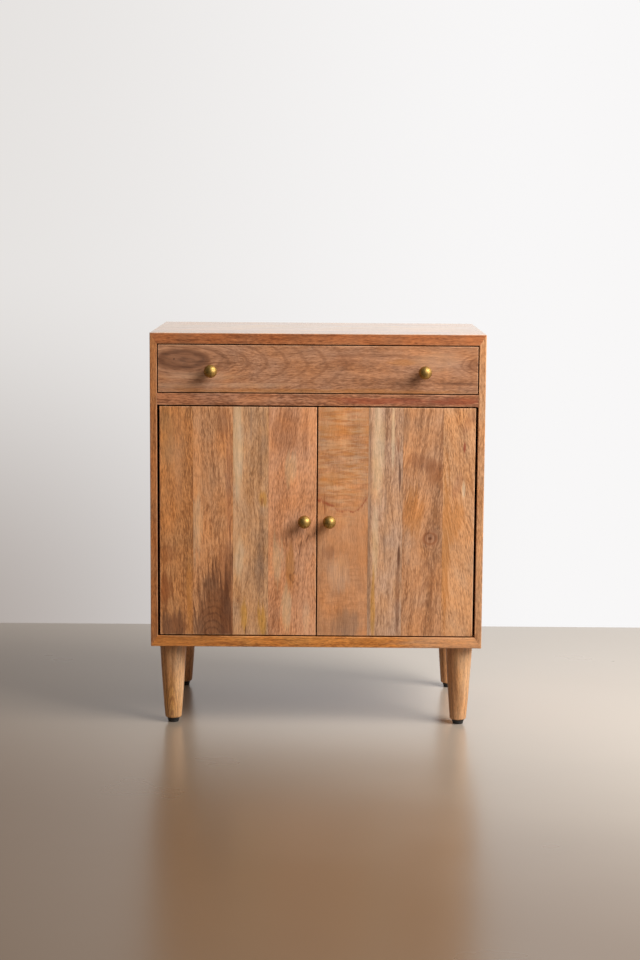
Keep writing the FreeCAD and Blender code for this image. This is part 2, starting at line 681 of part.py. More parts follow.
def box_cross_board(y_front):
    """A board across the drawer box, with a tongue at each end."""
    board = box((-BOX_INNER_HALF, BOX_INNER_HALF), (y_front, y_front + BOX_BOARD_THICKNESS),
                (BOX_BASE, BOX_TOP))
    middle = y_front + BOX_BOARD_THICKNESS / 2
    half = BOX_INNER_HALF + BOX_TONGUE_LENGTH
    tongues = box((-half, half), (middle - BOX_TONGUE_THICKNESS / 2, middle + BOX_TONGUE_THICKNESS / 2),
                  (BOX_BASE, BOX_TOP))
    return board.fuse(tongues).removeSplitter()


def drawer_bottom():
    """The bottom of the drawer box, held in grooves all round."""
    half = BOX_INNER_HALF + BOX_BOTTOM_GROOVE
    base = BOX_BASE + BOX_BOTTOM_RISE
    return box((-half, half), (SUB_FRONT_BACK_Y - BOX_BOTTOM_GROOVE, BOX_BACK_BOARD_Y + BOX_BOTTOM_GROOVE),
               (base, base + BOX_BOTTOM_THICKNESS))


def drawer_sub_front():
    """The front board of the drawer box, behind the show front."""
    return box_cross_board(BOX_FRONT_Y).cut([drawer_bottom()] + drawer_front_holes())


def drawer_back():
    """The back board of the drawer box."""
    return box_cross_board(BOX_BACK_BOARD_Y).cut(drawer_bottom())


def drawer_side(side):
    """One long side of the drawer box, grooved for the front, back and bottom."""
    board = box((side * BOX_INNER_HALF, side * BOX_HALF), (BOX_FRONT_Y, BOX_BACK_Y), (BOX_BASE, BOX_TOP))
    cuts = [box_cross_board(BOX_FRONT_Y), box_cross_board(BOX_BACK_BOARD_Y), drawer_bottom()]
    return board.cut(cuts + [screw.hole() for screw in drawer_runner_screws(side)])


# Runners

def channel(side, web, lip, half_height):
    """A sheet channel along the drawer, its web and lips placed inwards from the cabinet side."""
    sheet = RUNNER_SHEET if lip > web else -RUNNER_SHEET
    section = [(web, half_height), (lip, half_height), (lip, half_height - RUNNER_SHEET),
               (web + sheet, half_height - RUNNER_SHEET), (web + sheet, RUNNER_SHEET - half_height),
               (lip, RUNNER_SHEET - half_height), (lip, -half_height), (web, -half_height)]
    outline = [(side * (INNER_HALF - inward), BOX_MIDDLE + height) for inward, height in section]
    return prism(outline, RUNNER_FRONT_Y, RUNNER_LENGTH)


def fixed_channel(side):
    """The runner channel screwed to the cabinet side."""
    return channel(side, 0, LIP_EDGE, FIXED_HALF).cut(
        [screw.hole() for screw in cabinet_runner_screws(side)])


def middle_channel(side):
    """The runner channel that travels half as far as the drawer."""
    return channel(side, MIDDLE_WEB, LIP_EDGE, MIDDLE_HALF)


def drawer_channel(side):
    """The runner channel screwed to the drawer side."""
    return channel(side, RUNNER_THICKNESS, DRAWER_LIP_EDGE, INNER_CHANNEL_HALF).cut(
        [screw.hole() for screw in drawer_runner_screws(side)])


def ball_cage(side, inward, track_height):
    """A strip of sheet with a row of balls, midway along the runner."""
    x = side * (INNER_HALF - inward)
    z = BOX_MIDDLE + track_height
    cage = box((x - CAGE_WIDTH / 2, x + CAGE_WIDTH / 2),
               (RUNNER_MIDDLE_Y - CAGE_LENGTH / 2, RUNNER_MIDDLE_Y + CAGE_LENGTH / 2),
               (z - CAGE_SHEET / 2, z + CAGE_SHEET / 2))
    first = RUNNER_MIDDLE_Y - BALL_PITCH * (BALL_COUNT - 1) / 2
    balls = [Part.makeSphere(BALL_RADIUS, FreeCAD.Vector(x, first + BALL_PITCH * number, z))
             for number in range(BALL_COUNT)]
    return cage.fuse(balls).removeSplitter()


def ball_cages(inward, inner_half):
    """The upper and lower cages of both runners that roll outside one channel's lips."""
    track = inner_half + BALL_TRACK / 2
    return [ball_cage(side, inward, level * track) for side in (LEFT, RIGHT) for level in (1, -1)]


# Doors

def bush_seat(side, upper):
    """The hole for a pivot bush, in the rail above or the bottom panel below."""
    length = BUSH_LENGTH + OVERRUN
    z = RAIL_BASE - OVERRUN if upper else FLOOR_TOP - BUSH_LENGTH
    return cylinder(BUSH_RADIUS + SEAT_CLEARANCE, length, FreeCAD.Vector(side * PIVOT_X, PIVOT_Y, z))


def pivot_bush(side, upper):
    """A flanged bush that a door's pivot pin turns in."""
    level = 1 if upper else -1
    seat = FreeCAD.Vector(side * PIVOT_X, PIVOT_Y, RAIL_BASE if upper else FLOOR_TOP)
    inward = UP * level
    body = cylinder(BUSH_RADIUS, BUSH_LENGTH, seat, inward)
    flange = cylinder(BUSH_FLANGE_RADIUS, BUSH_FLANGE_THICKNESS, seat, inward * -1)
    bore_start = seat - inward * (BUSH_FLANGE_THICKNESS + OVERRUN)
    bore_length = BUSH_FLANGE_THICKNESS + BUSH_LENGTH + 2 * OVERRUN
    bore = cylinder(PIVOT_RADIUS + RUNNING_CLEARANCE, bore_length, bore_start, inward)
    return body.fuse(flange).removeSplitter().cut(bore)


def pivot_pin(side, upper):
    """A pivot pin in the end of a door, with the collar that spaces the door."""
    level = 1 if upper else -1
    outward = UP * level
    edge = FreeCAD.Vector(side * PIVOT_X, PIVOT_Y, DOOR_TOP if upper else DOOR_BASE)
    shank = cylinder(PIVOT_RADIUS, PIVOT_DEPTH + DOOR_GAP + PIVOT_REACH, edge - outward * PIVOT_DEPTH,
                     outward)
    collar = cylinder(COLLAR_RADIUS, COLLAR_THICKNESS, edge, outward)
    return shank.fuse(collar).removeSplitter()


def pivot_bores(side):
    """The bores for both pins in the ends of a door."""
    length = PIVOT_DEPTH + OVERRUN
    radius = PIVOT_RADIUS + SEAT_CLEARANCE
    return [cylinder(radius, length, FreeCAD.Vector(side * PIVOT_X, PIVOT_Y, DOOR_TOP - PIVOT_DEPTH)),
            cylinder(radius, length, FreeCAD.Vector(side * PIVOT_X, PIVOT_Y, DOOR_BASE - OVERRUN))]


def door_panel(side, stave_shares):
    """A door, glued up from upright staves and bored for its pivots, knob and strike plate."""
    board = rounded_box((side * DOOR_MEETING_EDGE, side * DOOR_HINGE_EDGE), (FACE_Y, DOOR_BACK_Y),
                        (DOOR_BASE, DOOR_TOP), DOOR_EDGE_ROUND)
    cuts = pivot_bores(side) + [door_knob_screw(side).hole()]
    cuts += [countersunk_screw(place, SCREW_CLEARANCE) for place in strike_screw_places(side)]
    width = DOOR_HINGE_EDGE - DOOR_MEETING_EDGE
    shares = stave_shares if side == LEFT else stave_shares[::-1]
    start = -DOOR_HINGE_EDGE if side == LEFT else DOOR_MEETING_EDGE
    return staves(board.cut(cuts), "x", start, [share * width for share in shares])


def strike_plate(side):
    """The steel plate on the back of a door, countersunk for its screws."""
    x = side * CATCH_OFFSET
    plate = box((x - STRIKE_LENGTH / 2, x + STRIKE_LENGTH / 2),
                (DOOR_BACK_Y, DOOR_BACK_Y + STRIKE_THICKNESS),
                (STRIKE_MIDDLE - STRIKE_HEIGHT / 2, STRIKE_MIDDLE + STRIKE_HEIGHT / 2))
    return plate.cut([countersunk_screw(place, SCREW_CLEARANCE) for place in strike_screw_places(side)])


def magnet(side, spare):
    """The magnet of a catch, or its pocket with some spare, flush with the catch's front."""
    x = side * CATCH_OFFSET
    half = MAGNET_LENGTH / 2 + spare
    base = STRIKE_MIDDLE - MAGNET_HEIGHT / 2
    front = CATCH_FRONT_Y - OVERRUN if spare else CATCH_FRONT_Y
    return box((x - half, x + half), (front, CATCH_FRONT_Y + MAGNET_DEPTH),
               (base - spare, base + MAGNET_HEIGHT + spare))


def catch_housing(side):
    """The moulded housing of a catch: a core with a pocket, and two ears against the rail."""
    x = side * CATCH_OFFSET
    ends_y = (CATCH_FRONT_Y, CATCH_FRONT_Y + CATCH_DEPTH)
    core = box((x - CATCH_CORE_LENGTH / 2, x + CATCH_CORE_LENGTH / 2), ends_y,
               (RAIL_BASE - CATCH_HEIGHT, RAIL_BASE))
    ears = box((x - CATCH_LENGTH / 2, x + CATCH_LENGTH / 2), ends_y,
               (RAIL_BASE - CATCH_EAR_THICKNESS, RAIL_BASE))
    holes = [screw.hole() for screw in catch_screws(side)]
    return core.fuse(ears).removeSplitter().cut([magnet(side, SEAT_CLEARANCE)] + holes)


def knob(x, z, bolt):
    """A ball knob on a short neck and rose, tapped from behind for its bolt."""
    def point(radius, distance):
        """A point of the outline, by its radius and its distance in front of the face."""
        return FreeCAD.Vector(x + radius, FACE_Y - distance, z)

    rose_edge = point(KNOB_ROSE_RADIUS, KNOB_ROSE_THICKNESS)
    neck_start = point(KNOB_NECK_RADIUS, KNOB_ROSE_THICKNESS)
    neck_end = point(KNOB_NECK_RADIUS, KNOB_ROSE_THICKNESS + KNOB_NECK_LENGTH)
    widest = point(KNOB_RADIUS, KNOB_CENTRE)
    tip = point(0, KNOB_PROJECTION)
    straight = [point(0, 0), point(KNOB_ROSE_RADIUS, 0), rose_edge, neck_start, neck_end]
    edges = [Part.makeLine(start, end) for start, end in zip(straight, straight[1:])]
    edges.append(Part.Arc(neck_end, widest, tip).toShape())
    edges.append(Part.makeLine(tip, straight[0]))
    face = Part.Face(Part.Wire(edges))
    solid = face.revolve(FreeCAD.Vector(x, FACE_Y, z), TO_BACK)
    return solid.cut(bolt.hole())


# Every piece by name

def pieces():
    """The solids of every node of the cabinet."""
    nodes = {
        "top_panel": top_panel(),
        "bottom_panel": [bottom_panel()],
        "mitre_splines": mitre_splines(),
        "divider_rail": [divider_rail()],
        "dust_board": [dust_board()],
        "back_panel": [back_panel()],
        "back_panel_screws": [screw.solid() for screw in back_screws()],
        "shelf": [shelf()],
        "shelf_pins": [shelf_pin(side, y) for side in (LEFT, RIGHT) for y in PIN_PLACES_Y],
        "leg_hanger_bolts": [hanger_bolt(x, y) for x, y in LEG_PLACES.values()],
        "leg_insert_nuts": [panel_nut(x, y) for x, y in LEG_PLACES.values()],
        "foot_sleeves": [foot_sleeve(x, y) for x, y in LEG_PLACES.values()],
        "door_pivot_bushes": [pivot_bush(side, upper) for side in (LEFT, RIGHT) for upper in (True, False)],
        "catch_magnets": [magnet(side, 0) for side in (LEFT, RIGHT)],
        "drawer_front": [drawer_front()],
        "drawer_sub_front": [drawer_sub_front()],
        "drawer_back": [drawer_back()],
        "drawer_bottom": [drawer_bottom()],
        "drawer_front_screws": [screw.solid() for screw in drawer_front_screws()],
        "drawer_knob_screws": [drawer_knob_screw(side).solid() for side in (LEFT, RIGHT)],
        "outer_ball_cages": ball_cages(OUTER_BALL_PLACE, MIDDLE_HALF),
        "inner_ball_cages": ball_cages(INNER_BALL_PLACE, INNER_CHANNEL_HALF),
        "catch_screws": [],
        "runner_cabinet_screws": [],
        "runner_drawer_screws": [],
    }
    door_staves = {"left": LEFT_DOOR_STAVE_SHARES, "right": RIGHT_DOOR_STAVE_SHARES}
    for name, side in SIDES.items():
        nodes[f"{name}_side_panel"] = [side_panel(side)]
        nodes[f"{name}_runner_fixed_channel"] = [fixed_channel(side)]
        nodes[f"{name}_runner_middle_channel"] = [middle_channel(side)]
        nodes[f"{name}_runner_drawer_channel"] = [drawer_channel(side)]
        nodes[f"drawer_{name}_side"] = [drawer_side(side)]
        nodes[f"{name}_drawer_knob"] = [knob(side * DRAWER_KNOB_X, DRAWER_KNOB_Z, drawer_knob_screw(side))]
        nodes[f"{name}_door_panel"] = door_panel(side, door_staves[name])
        nodes[f"{name}_door_knob"] = [knob(side * DOOR_KNOB_X, DOOR_KNOB_Z, door_knob_screw(side))]
        nodes[f"{name}_door_knob_screw"] = [door_knob_screw(side).solid()]
        nodes[f"{name}_door_pivot_pins"] = [pivot_pin(side, upper) for upper in (True, False)]
        nodes[f"{name}_door_strike_plate"] = [strike_plate(side)]
        nodes[f"{name}_door_strike_screws"] = [countersunk_screw(place, 0)
                                               for place in strike_screw_places(side)]
        nodes[f"{name}_catch_housing"] = [catch_housing(side)]
        nodes["catch_screws"] += [screw.solid() for screw in catch_screws(side)]
        nodes["runner_cabinet_screws"] += [screw.solid() for screw in cabinet_runner_screws(side)]
        nodes["runner_drawer_screws"] += [screw.solid() for screw in drawer_runner_screws(side)]
    for name, (x, y) in LEG_PLACES.items():
        nodes[f"{name}_leg"] = [leg(x, y)]
        nodes[f"{name}_foot"] = foot(x, y)
    return nodes


def write_pieces():
    """Write each node's solids to a file of its own name."""
    os.makedirs("parts", exist_ok=True)
    for name, solids in pieces().items():
        shape = solids[0] if len(solids) == 1 else Part.makeCompound(solids)
        shape.exportStep(os.path.join("parts", f"{name}.step"))


write_pieces()
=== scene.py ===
"""Looks of a small wooden cabinet: a drawer over a pair of doors, on turned legs with levelling feet.

Every length is in metres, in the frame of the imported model: X to the right, Y to the back, Z up.
"""
import logging
import math
from dataclasses import dataclass, replace
from enum import Enum
from typing import Sequence

import bmesh
import bpy
from mathutils import Matrix, Vector


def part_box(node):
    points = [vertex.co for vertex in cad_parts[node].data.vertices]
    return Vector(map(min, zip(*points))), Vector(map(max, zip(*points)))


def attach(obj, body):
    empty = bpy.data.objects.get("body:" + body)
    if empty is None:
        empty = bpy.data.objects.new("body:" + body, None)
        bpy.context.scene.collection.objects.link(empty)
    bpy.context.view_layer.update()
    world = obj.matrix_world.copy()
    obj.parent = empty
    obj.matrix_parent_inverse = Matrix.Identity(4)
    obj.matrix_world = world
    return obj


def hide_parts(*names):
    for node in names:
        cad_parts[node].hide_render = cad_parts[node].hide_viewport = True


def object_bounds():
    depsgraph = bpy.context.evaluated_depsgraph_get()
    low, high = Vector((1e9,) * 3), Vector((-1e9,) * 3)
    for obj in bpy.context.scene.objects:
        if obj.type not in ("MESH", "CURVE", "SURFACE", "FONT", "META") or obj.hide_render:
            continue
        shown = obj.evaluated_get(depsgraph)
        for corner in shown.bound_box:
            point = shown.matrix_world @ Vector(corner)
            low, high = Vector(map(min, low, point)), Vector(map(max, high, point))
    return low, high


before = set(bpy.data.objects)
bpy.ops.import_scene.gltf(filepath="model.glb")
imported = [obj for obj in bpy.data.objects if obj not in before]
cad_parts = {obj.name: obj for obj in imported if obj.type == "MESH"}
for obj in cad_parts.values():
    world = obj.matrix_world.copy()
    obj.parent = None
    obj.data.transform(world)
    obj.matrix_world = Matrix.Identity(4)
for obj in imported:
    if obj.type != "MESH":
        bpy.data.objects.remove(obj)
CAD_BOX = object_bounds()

LOG = logging.getLogger("cabinet")
MM = 0.001
TURN = 2.0 * math.pi
WELD = 0.002 * MM
SHARP_FROM = math.radians(35.0)
SIDES = ("left", "right")
LEG_NAMES = ("front_left", "front_right", "rear_left", "rear_right")

Box = tuple[Vector, Vector]
Outline = list[tuple[float, float]]
Rgb = tuple[float, float, float]
Rgba = tuple[float, float, float, float]


class Tone(Enum):
    """Colours of the wood and its stains, as they look on a screen, from 0 to 255."""

    BROWN = (186, 125, 75)
    TAN = (192, 134, 89)
    GREIGE = (190, 143, 103)
    ROSE = (200, 141, 101)
    HONEY = (196, 138, 94)
    ASH = (189, 146, 114)
    CARAMEL = (189, 136, 96)
    STRAW = (196, 142, 98)
    COCOA = (171, 121, 88)
    RUSSET = (167, 111, 78)
    SIENNA = (163, 98, 57)
    GINGER = (200, 129, 61)
    MALT = (203, 150, 102)
    CINNAMON = (174, 112, 65)
    UMBER = (92, 56, 38)
    PLUM = (102, 60, 38)
    WALNUT = (120, 76, 50)
    CHESTNUT = (144, 92, 60)
    RUST = (140, 78, 38)
    BRICK = (150, 68, 42)
    OLIVE = (142, 104, 58)
    AMBER = (190, 126, 66)
    OCHRE = (196, 142, 60)
    STONE = (146, 114, 90)
    CREAM = (218, 184, 146)
    MILK = (222, 208, 192)
    PALE = (206, 160, 124)
    INK = (62, 32, 20)
    BIRCH = (212, 180, 140)

    @property
    def rgba(self) -> Rgba:
        """The colour in linear light, opaque."""
        return (*(linear(level) for level in self.value), 1.0)

    def shaded(self, amount: float) -> Rgba:
        """The colour of darker or lighter wood of the same kind.

        Args:
            amount: Below zero for darker and redder, above zero for lighter and greyer wood.

        Returns:
            The colour in linear light, opaque.
        """
        bases = (1.75, 1.95, 2.15)
        brightest = 0.9
        return (*(min(level * base ** amount, brightest) for level, base in zip(self.rgba, bases)), 1.0)


class Grain(Enum):
    """Which way a board's grain runs: the axes across, along and through the board."""

    UPRIGHT = (0, 2, 1)
    LEVEL = (2, 0, 1)
    FLAT = (1, 0, 2)
    UPRIGHT_SIDE = (1, 2, 0)
    DEEP = (2, 1, 0)


class Drive(Enum):
    """Which way a screw is driven: away from the middle, back and up."""

    FORWARD = (0.0, -1.0, 0.0)
    OUTWARD = (1.0, 0.0, 0.0)
    INWARD = (-1.0, 0.0, 0.0)
    UPWARD = (0.0, 0.0, 1.0)

    def direction(self, x: float) -> Vector:
        """The unit vector along which a screw at a place on X is driven."""
        away, back, up = self.value
        return Vector((away * math.copysign(1.0, x), back, up))


def linear(level: float) -> float:
    """A screen level from 0 to 255 in linear light, from 0 to 1."""
    share = level / 255.0
    return share / 12.92 if share <= 0.04045 else ((share + 0.055) / 1.055) ** 2.4


class Signal:
    """A node's output, which can stand in plain sums."""

    def __init__(self, sketch: "NodeSketch", socket: bpy.types.NodeSocket) -> None:
        """Keep the socket and the tree that it belongs to."""
        self.sketch = sketch
        self.socket = socket

    def __add__(self, other: "Value") -> "Signal":
        """The sum of two numbers."""
        return self.sketch.math("ADD", self, other)

    def __sub__(self, other: "Value") -> "Signal":
        """The difference of two numbers."""
        return self.sketch.math("SUBTRACT", self, other)

    def __rsub__(self, other: float) -> "Signal":
        """A plain number less this one."""
        return self.sketch.math("SUBTRACT", other, self)

    def __mul__(self, other: "Value") -> "Signal":
        """The product of two numbers."""
        return self.sketch.math("MULTIPLY", self, other)

    def __truediv__(self, other: "Value") -> "Signal":
        """The quotient of two numbers."""
        return self.sketch.math("DIVIDE", self, other)


Value = float | Sequence[float] | Signal


class NodeSketch:
    """Adds and links the nodes of one tree."""

    def __init__(self, tree: bpy.types.NodeTree) -> None:
        """Keep the tree that the nodes go into."""
        self.tree = tree

    def add(self, kind: str, feeds: dict | None = None, **settings: object) -> bpy.types.Node:
        """Add a node.

        Args:
            kind: Blender's type name of the node.
            feeds: Values or signals by the name or number of the input.
            settings: Properties of the node.

        Returns:
            The new node.
        """
        node = self.tree.nodes.new(kind)
        for name, setting in settings.items():
            setattr(node, name, setting)
        for key, value in (feeds or {}).items():
            self.feed(node.inputs[key], value)
        return node

    def make(self, kind: str, feeds: dict | None = None, output: int | str = 0,
             **settings: object) -> Signal:
        """Add a node as add does, and give one of its outputs."""
        return Signal(self, self.add(kind, feeds, **settings).outputs[output])

    def feed(self, socket: bpy.types.NodeSocket, value: Value) -> None:
        """Link a signal to an input, or set the input's own value.

        Args:
            socket: The input.
            value: The signal or the plain value.
        """
        if isinstance(value, Signal):
            self.tree.links.new(value.socket, socket)
        else:
            socket.default_value = value

    def math(self, operation: str, *values: Value) -> Signal:
        """The result of a sum on numbers."""
        return self.make("ShaderNodeMath", dict(enumerate(values)), operation=operation)

    def vector(self, operation: str, *values: Value) -> Signal:
        """The result of a sum on vectors."""
        return self.make("ShaderNodeVectorMath", dict(enumerate(values)), operation=operation)

    def length(self, vector: Signal) -> Signal:
        """The length of a vector."""
        return self.make("ShaderNodeVectorMath", {0: vector}, "Value", operation="LENGTH")

    def combine(self, x: Value, y: Value, z: Value) -> Signal:
        """A vector from its three parts."""
        return self.make("ShaderNodeCombineXYZ", {0: x, 1: y, 2: z})

    def split(self, vector: Signal) -> list[Signal]:
        """The three parts of a vector."""
        node = self.add("ShaderNodeSeparateXYZ", {0: vector})
        return [Signal(self, part) for part in node.outputs]

    def between(self, value: Signal, low: float, high: float, start: float = 0.0,
                end: float = 1.0) -> Signal:
        """A smooth change from start to end as the value goes from low to high."""
        feeds = {0: value, 1: low, 2: high, 3: start, 4: end}
        return self.make("ShaderNodeMapRange", feeds, interpolation_type="SMOOTHSTEP")

    def mix(self, share: Value, first: Value, second: Value) -> Signal:
        """A colour between two colours."""
        return self.make("ShaderNodeMix", {0: share, 6: first, 7: second}, 2, data_type="RGBA")


class ShaderSketch(NodeSketch):
    """The node tree of one material."""

    def __init__(self, name: str) -> None:
        """Start an empty material.

        Args:
            name: Name of the material.
        """
        self.material = bpy.data.materials.new(name)
        self.material.use_nodes = True
        super().__init__(self.material.node_tree)
        self.tree.nodes.clear()

    def place(self) -> Signal:
        """Object coordinates."""
        return self.make("ShaderNodeTexCoord", output="Object")

    def noise(self, vector: Signal, per_metre: Sequence[float], detail: float = 2.0,
              roughness: float = 0.5) -> Signal:
        """Soft noise, stretched by how many cells it has to the metre.

        Args:
            vector: Where the noise is read.
            per_metre: Cells to the metre along each axis.
            detail: Octaves of finer noise.
            roughness: Strength of the finer noise.

        Returns:
            A number about a half.
        """
        stretched = self.vector("MULTIPLY", vector, per_metre)
        feeds = {"Vector": stretched, "Scale": 1.0, "Detail": detail, "Roughness": roughness}
        return self.make("ShaderNodeTexNoise", feeds)

    def brighten(self, colour: Value, factor: Signal) -> Signal:
        """A colour made brighter or darker by a factor."""
        return self.make("ShaderNodeVectorMath", {0: colour, "Scale": factor}, operation="SCALE")

    def ramp(self, share: Signal, stops: Sequence[tuple[float, Rgba]]) -> Signal:
        """A colour read from a row of stops.

        Args:
            share: Where the colour is read.
            stops: The place and the colour of each stop.

        Returns:
            The colour.
        """
        node = self.add("ShaderNodeValToRGB", {0: share})
        elements = node.color_ramp.elements
        while len(elements) < len(stops):
            elements.new(1.0)
        for element, (position, colour) in zip(elements, stops):
            element.position = position
            element.color = colour
        return Signal(self, node.outputs[0])

    def local(self, vector: Signal, centre: Vector, turn: float, scale: Sequence[float]) -> Signal:
        """Coordinates about a centre, turned about Y and measured in the given units.

        Args:
            vector: The coordinates to change.
            centre: The new origin.
            turn: Clockwise turn seen from the front, in degrees.
            scale: Length of one unit along each new axis.

        Returns:
            The new coordinates.
        """
        feeds = {0: vector, 1: centre, 2: (0.0, math.radians(turn), 0.0), 3: scale}
        return self.make("ShaderNodeMapping", feeds, vector_type="TEXTURE")

    def finish(self, colour: Value, roughness: Value, height: Signal, bump: float, depth: float,
               **constants: float) -> bpy.types.Material:
        """Close the tree with one surface shader.

        Args:
            colour: Base colour.
            roughness: Roughness.
            height: Height that makes the bump.
            bump: Strength of the bump.
            depth: Depth of the bump.
            constants: Other inputs of the shader by name, with a low line for each space.

        Returns:
            The finished material.
        """
        normal = self.make("ShaderNodeBump", {"Strength": bump, "Distance": depth, "Height": height})
        feeds = {"Base Color": colour, "Roughness": roughness, "Normal": normal}
        shader = self.add("ShaderNodeBsdfPrincipled", feeds)
        for name, value in constants.items():
            shader.inputs[name.replace("_", " ")].default_value = value
        self.add("ShaderNodeOutputMaterial", {"Surface": Signal(self, shader.outputs[0])})
        return self.material


@dataclass(frozen=True)
class Layer:
    """One scale of a grain: cells to the metre across and along it, and how fine its noise goes."""

    across: float
    along: float
    detail: float = 2.0
    roughness: float = 0.5

    def noise(self, sketch: ShaderSketch, place: Signal) -> Signal:
        """The layer's noise, with Y of the place along the grain."""
        return sketch.noise(place, (self.across, self.along, self.across), self.detail, self.roughness)


# Layers of a wooden board's grain
CLOUD = Layer(24.0, 15.0)
DRIFT = Layer(7.0, 3.4, detail=3.0)
STREAK = Layer(30.0, 1.1, detail=4.0, roughness=0.6)
VEIN = Layer(150.0, 8.0, detail=3.0, roughness=0.6)
FIBRE = Layer(640.0, 24.0, roughness=0.6)
TICK = Layer(480.0, 90.0, detail=1.0)
PORE = Layer(620.0, 120.0, detail=1.0)
CURL = Layer(14.0, 90.0, detail=3.0)

# Layers of the other finishes
TARNISH = Layer(210.0, 210.0, detail=4.0, roughness=0.6)
SCRATCH = Layer(900.0, 60.0)
SCUFF_CELLS = (160.0, 160.0, 420.0)

# How the layers make a board's colour, gloss and bump
STREAK_SHARE = 1.3
VEIN_SHARE = 0.9
FINE_SHARE = 1.3
DARKEST_SHADE = -0.9
LIGHTEST_SHADE = 0.5
CURL_SHARE = 4.0
WARM_TINT = (1.09, 1.0, 0.86, 1.0)
COOL_TINT = (0.95, 1.01, 1.12, 1.0)
VEIN_GLOSS = 0.22
PORE_GLOSS = 0.12
FIBRE_HEIGHT = 0.5
PORE_HEIGHT = 0.8
WOOD_BUMP = 0.35
WOOD_BUMP_DEPTH = 0.25 * MM
WAX_IOR = 1.12
WAX_ROUGHNESS = 0.08

# Edges, glue lines and growth rings
# The pale rim along the edges is partly wear and partly a painted highlight of the eased edges.
PALE_EDGE_START = 0.4 * MM
PALE_EDGE_REACH = 3.0 * MM
GLUE_LINE = 0.15 * MM
GLUE_REACH = 0.8 * MM
GLUE_DARKNESS = 0.72
BOARD_SHIFT = 0.61
PITH_ACROSS = 0.05
PITH_BEHIND = 0.09
RING_SLANT = 0.04
RING_WANDER = 16.0 * MM

# How a stain takes up the grain, and how spots dull the other finishes
STAIN_BASE = 0.25
STAIN_VEIN = 0.7
STAIN_FIBRE = 0.8
TARNISH_DULLS = 0.10
SCRATCH_DULLS = 0.08
SCUFF_DULLS = 0.15

# Smooth changes: where each one starts and ends and, with four numbers, what it goes from and to
OVAL_RIM = 1.05
ARC_BREAKS = (0.35, 0.60, 1.0, 0.3)
ARC_LOWER_PART = (-0.2, 0.05, 1.0, 0.0)
RIPPLE_BANDS = (0.42, 0.62)
KNOT_PULL = (0.0, 1.0, -0.75, 0.0)
KNOT_RINGS = (-0.6, 1.0)
KNOT_FADE = (0.8, 2.6)
DARK_RINGS = (-0.4, 1.0)
PORE_SPOTS = (0.54, 0.66)
PORE_STREAKS = (0.38, 0.66, 1.0, 0.35)
PALE_EDGE_SPOTS = (0.35, 0.65)
TARNISH_SPOTS = (0.42, 0.66)
SCUFF_SPOTS = (0.56, 0.74)


def edge_distance(sketch: ShaderSketch, place: Signal, box: Box) -> Signal:
    """How far a point on a board's surface is from the nearest edge of the board.

    Args:
        sketch: The material.
        place: Object coordinates.
        box: The board's box.

    Returns:
        A length.
    """
    middle, half = (box[0] + box[1]) / 2, (box[1] - box[0]) / 2
    offset = sketch.vector("ABSOLUTE", sketch.vector("SUBTRACT", place, middle))
    x, y, z = sketch.split(sketch.vector("SUBTRACT", half, offset))
    largest = sketch.math("MAXIMUM", sketch.math("MAXIMUM", x, y), z)
    return x + y + z - largest


@dataclass(frozen=True)
class Mark:
    """Something on a panel's front, placed by shares of its width and height from its top left."""

    across: float
    down: float

    def centre(self, box: Box) -> Vector:
        """Where the mark lies on a panel."""
        size = box[1] - box[0]
        return Vector((box[0].x + self.across * size.x, 0.0, box[1].z - self.down * size.z))

    def bend(self, sketch: ShaderSketch, place: Signal, box: Box) -> Signal:
        """Coordinates of the grain about the mark, which most marks leave straight."""
        return place

    def paint(self, space: "GrainSpace", colour: Signal) -> Signal:
        """The colour with the mark on it, which each kind of mark gives."""
        raise NotImplementedError


@dataclass(frozen=True)
class OvalMark(Mark):
    """A mark in an oval, whose half width and half height are shares of the panel's sizes."""

    half_width: float
    half_height: float
    tone: Tone
    strength: float
    tilt: float = 0.0

    def size(self, box: Box) -> tuple[float, float]:
        """The oval's half width and half height."""
        return self.half_width * (box[1].x - box[0].x), self.half_height * (box[1].z - box[0].z)

    def local(self, space: "GrainSpace", tilt: float) -> Signal:
        """Coordinates about the centre, turned by the tilt and one at the oval's rim."""
        width, height = self.size(space.box)
        return space.sketch.local(space.place, self.centre(space.box), tilt, (width, 1.0, height))

    def fade(self, space: "GrainSpace", core: float) -> Signal:
        """One in the oval's core, and nothing outside the upright oval."""
        distance = space.sketch.length(self.local(space, 0.0))
        return space.sketch.between(distance, core, OVAL_RIM, 1.0, 0.0)


@dataclass(frozen=True)
class Patch(OvalMark):
    """A soft stain with a ragged rim."""

    ragged: float = 1.2
    soft: float = 0.58

    def paint(self, space: "GrainSpace", colour: Signal) -> Signal:
        """Lay the stain on a colour.

        Args:
            space: The panel's grain.
            colour: The colour under the stain.

        Returns:
            The new colour.
        """
        sketch = space.sketch
        distance = space.vein * self.ragged + sketch.length(self.local(space, self.tilt))
        rim = OVAL_RIM + self.ragged / 2
        mask = sketch.between(distance, rim - self.soft, rim, self.strength, 0.0)
        return sketch.mix(mask, colour, sketch.brighten(self.tone.rgba[:3], space.texture))


@dataclass(frozen=True)
class Arc(OvalMark):
    """A thin dark line that follows the lower part of an oval."""

    thickness: float = 0.05

    def paint(self, space: "GrainSpace", colour: Signal) -> Signal:
        """Lay the line on a colour.

        Args:
            space: The panel's grain.
            colour: The colour under the line.

        Returns:
            The new colour.
        """
        sketch = space.sketch
        local = self.local(space, self.tilt)
        cloud_wobble, vein_wobble = 0.9, 0.3
        rim = 1.0 + (cloud_wobble + vein_wobble) / 2
        wobble = space.cloud * cloud_wobble + sketch.length(local) + space.vein * vein_wobble
        off_line = sketch.math("ABSOLUTE", wobble - rim)
        line = sketch.between(off_line, 0.0, self.thickness, self.strength, 0.0)
        broken = sketch.between(space.vein, *ARC_BREAKS)
        lower = sketch.between(sketch.split(local)[2], *ARC_LOWER_PART)
        return sketch.mix(line * broken * lower, colour, self.tone.rgba)


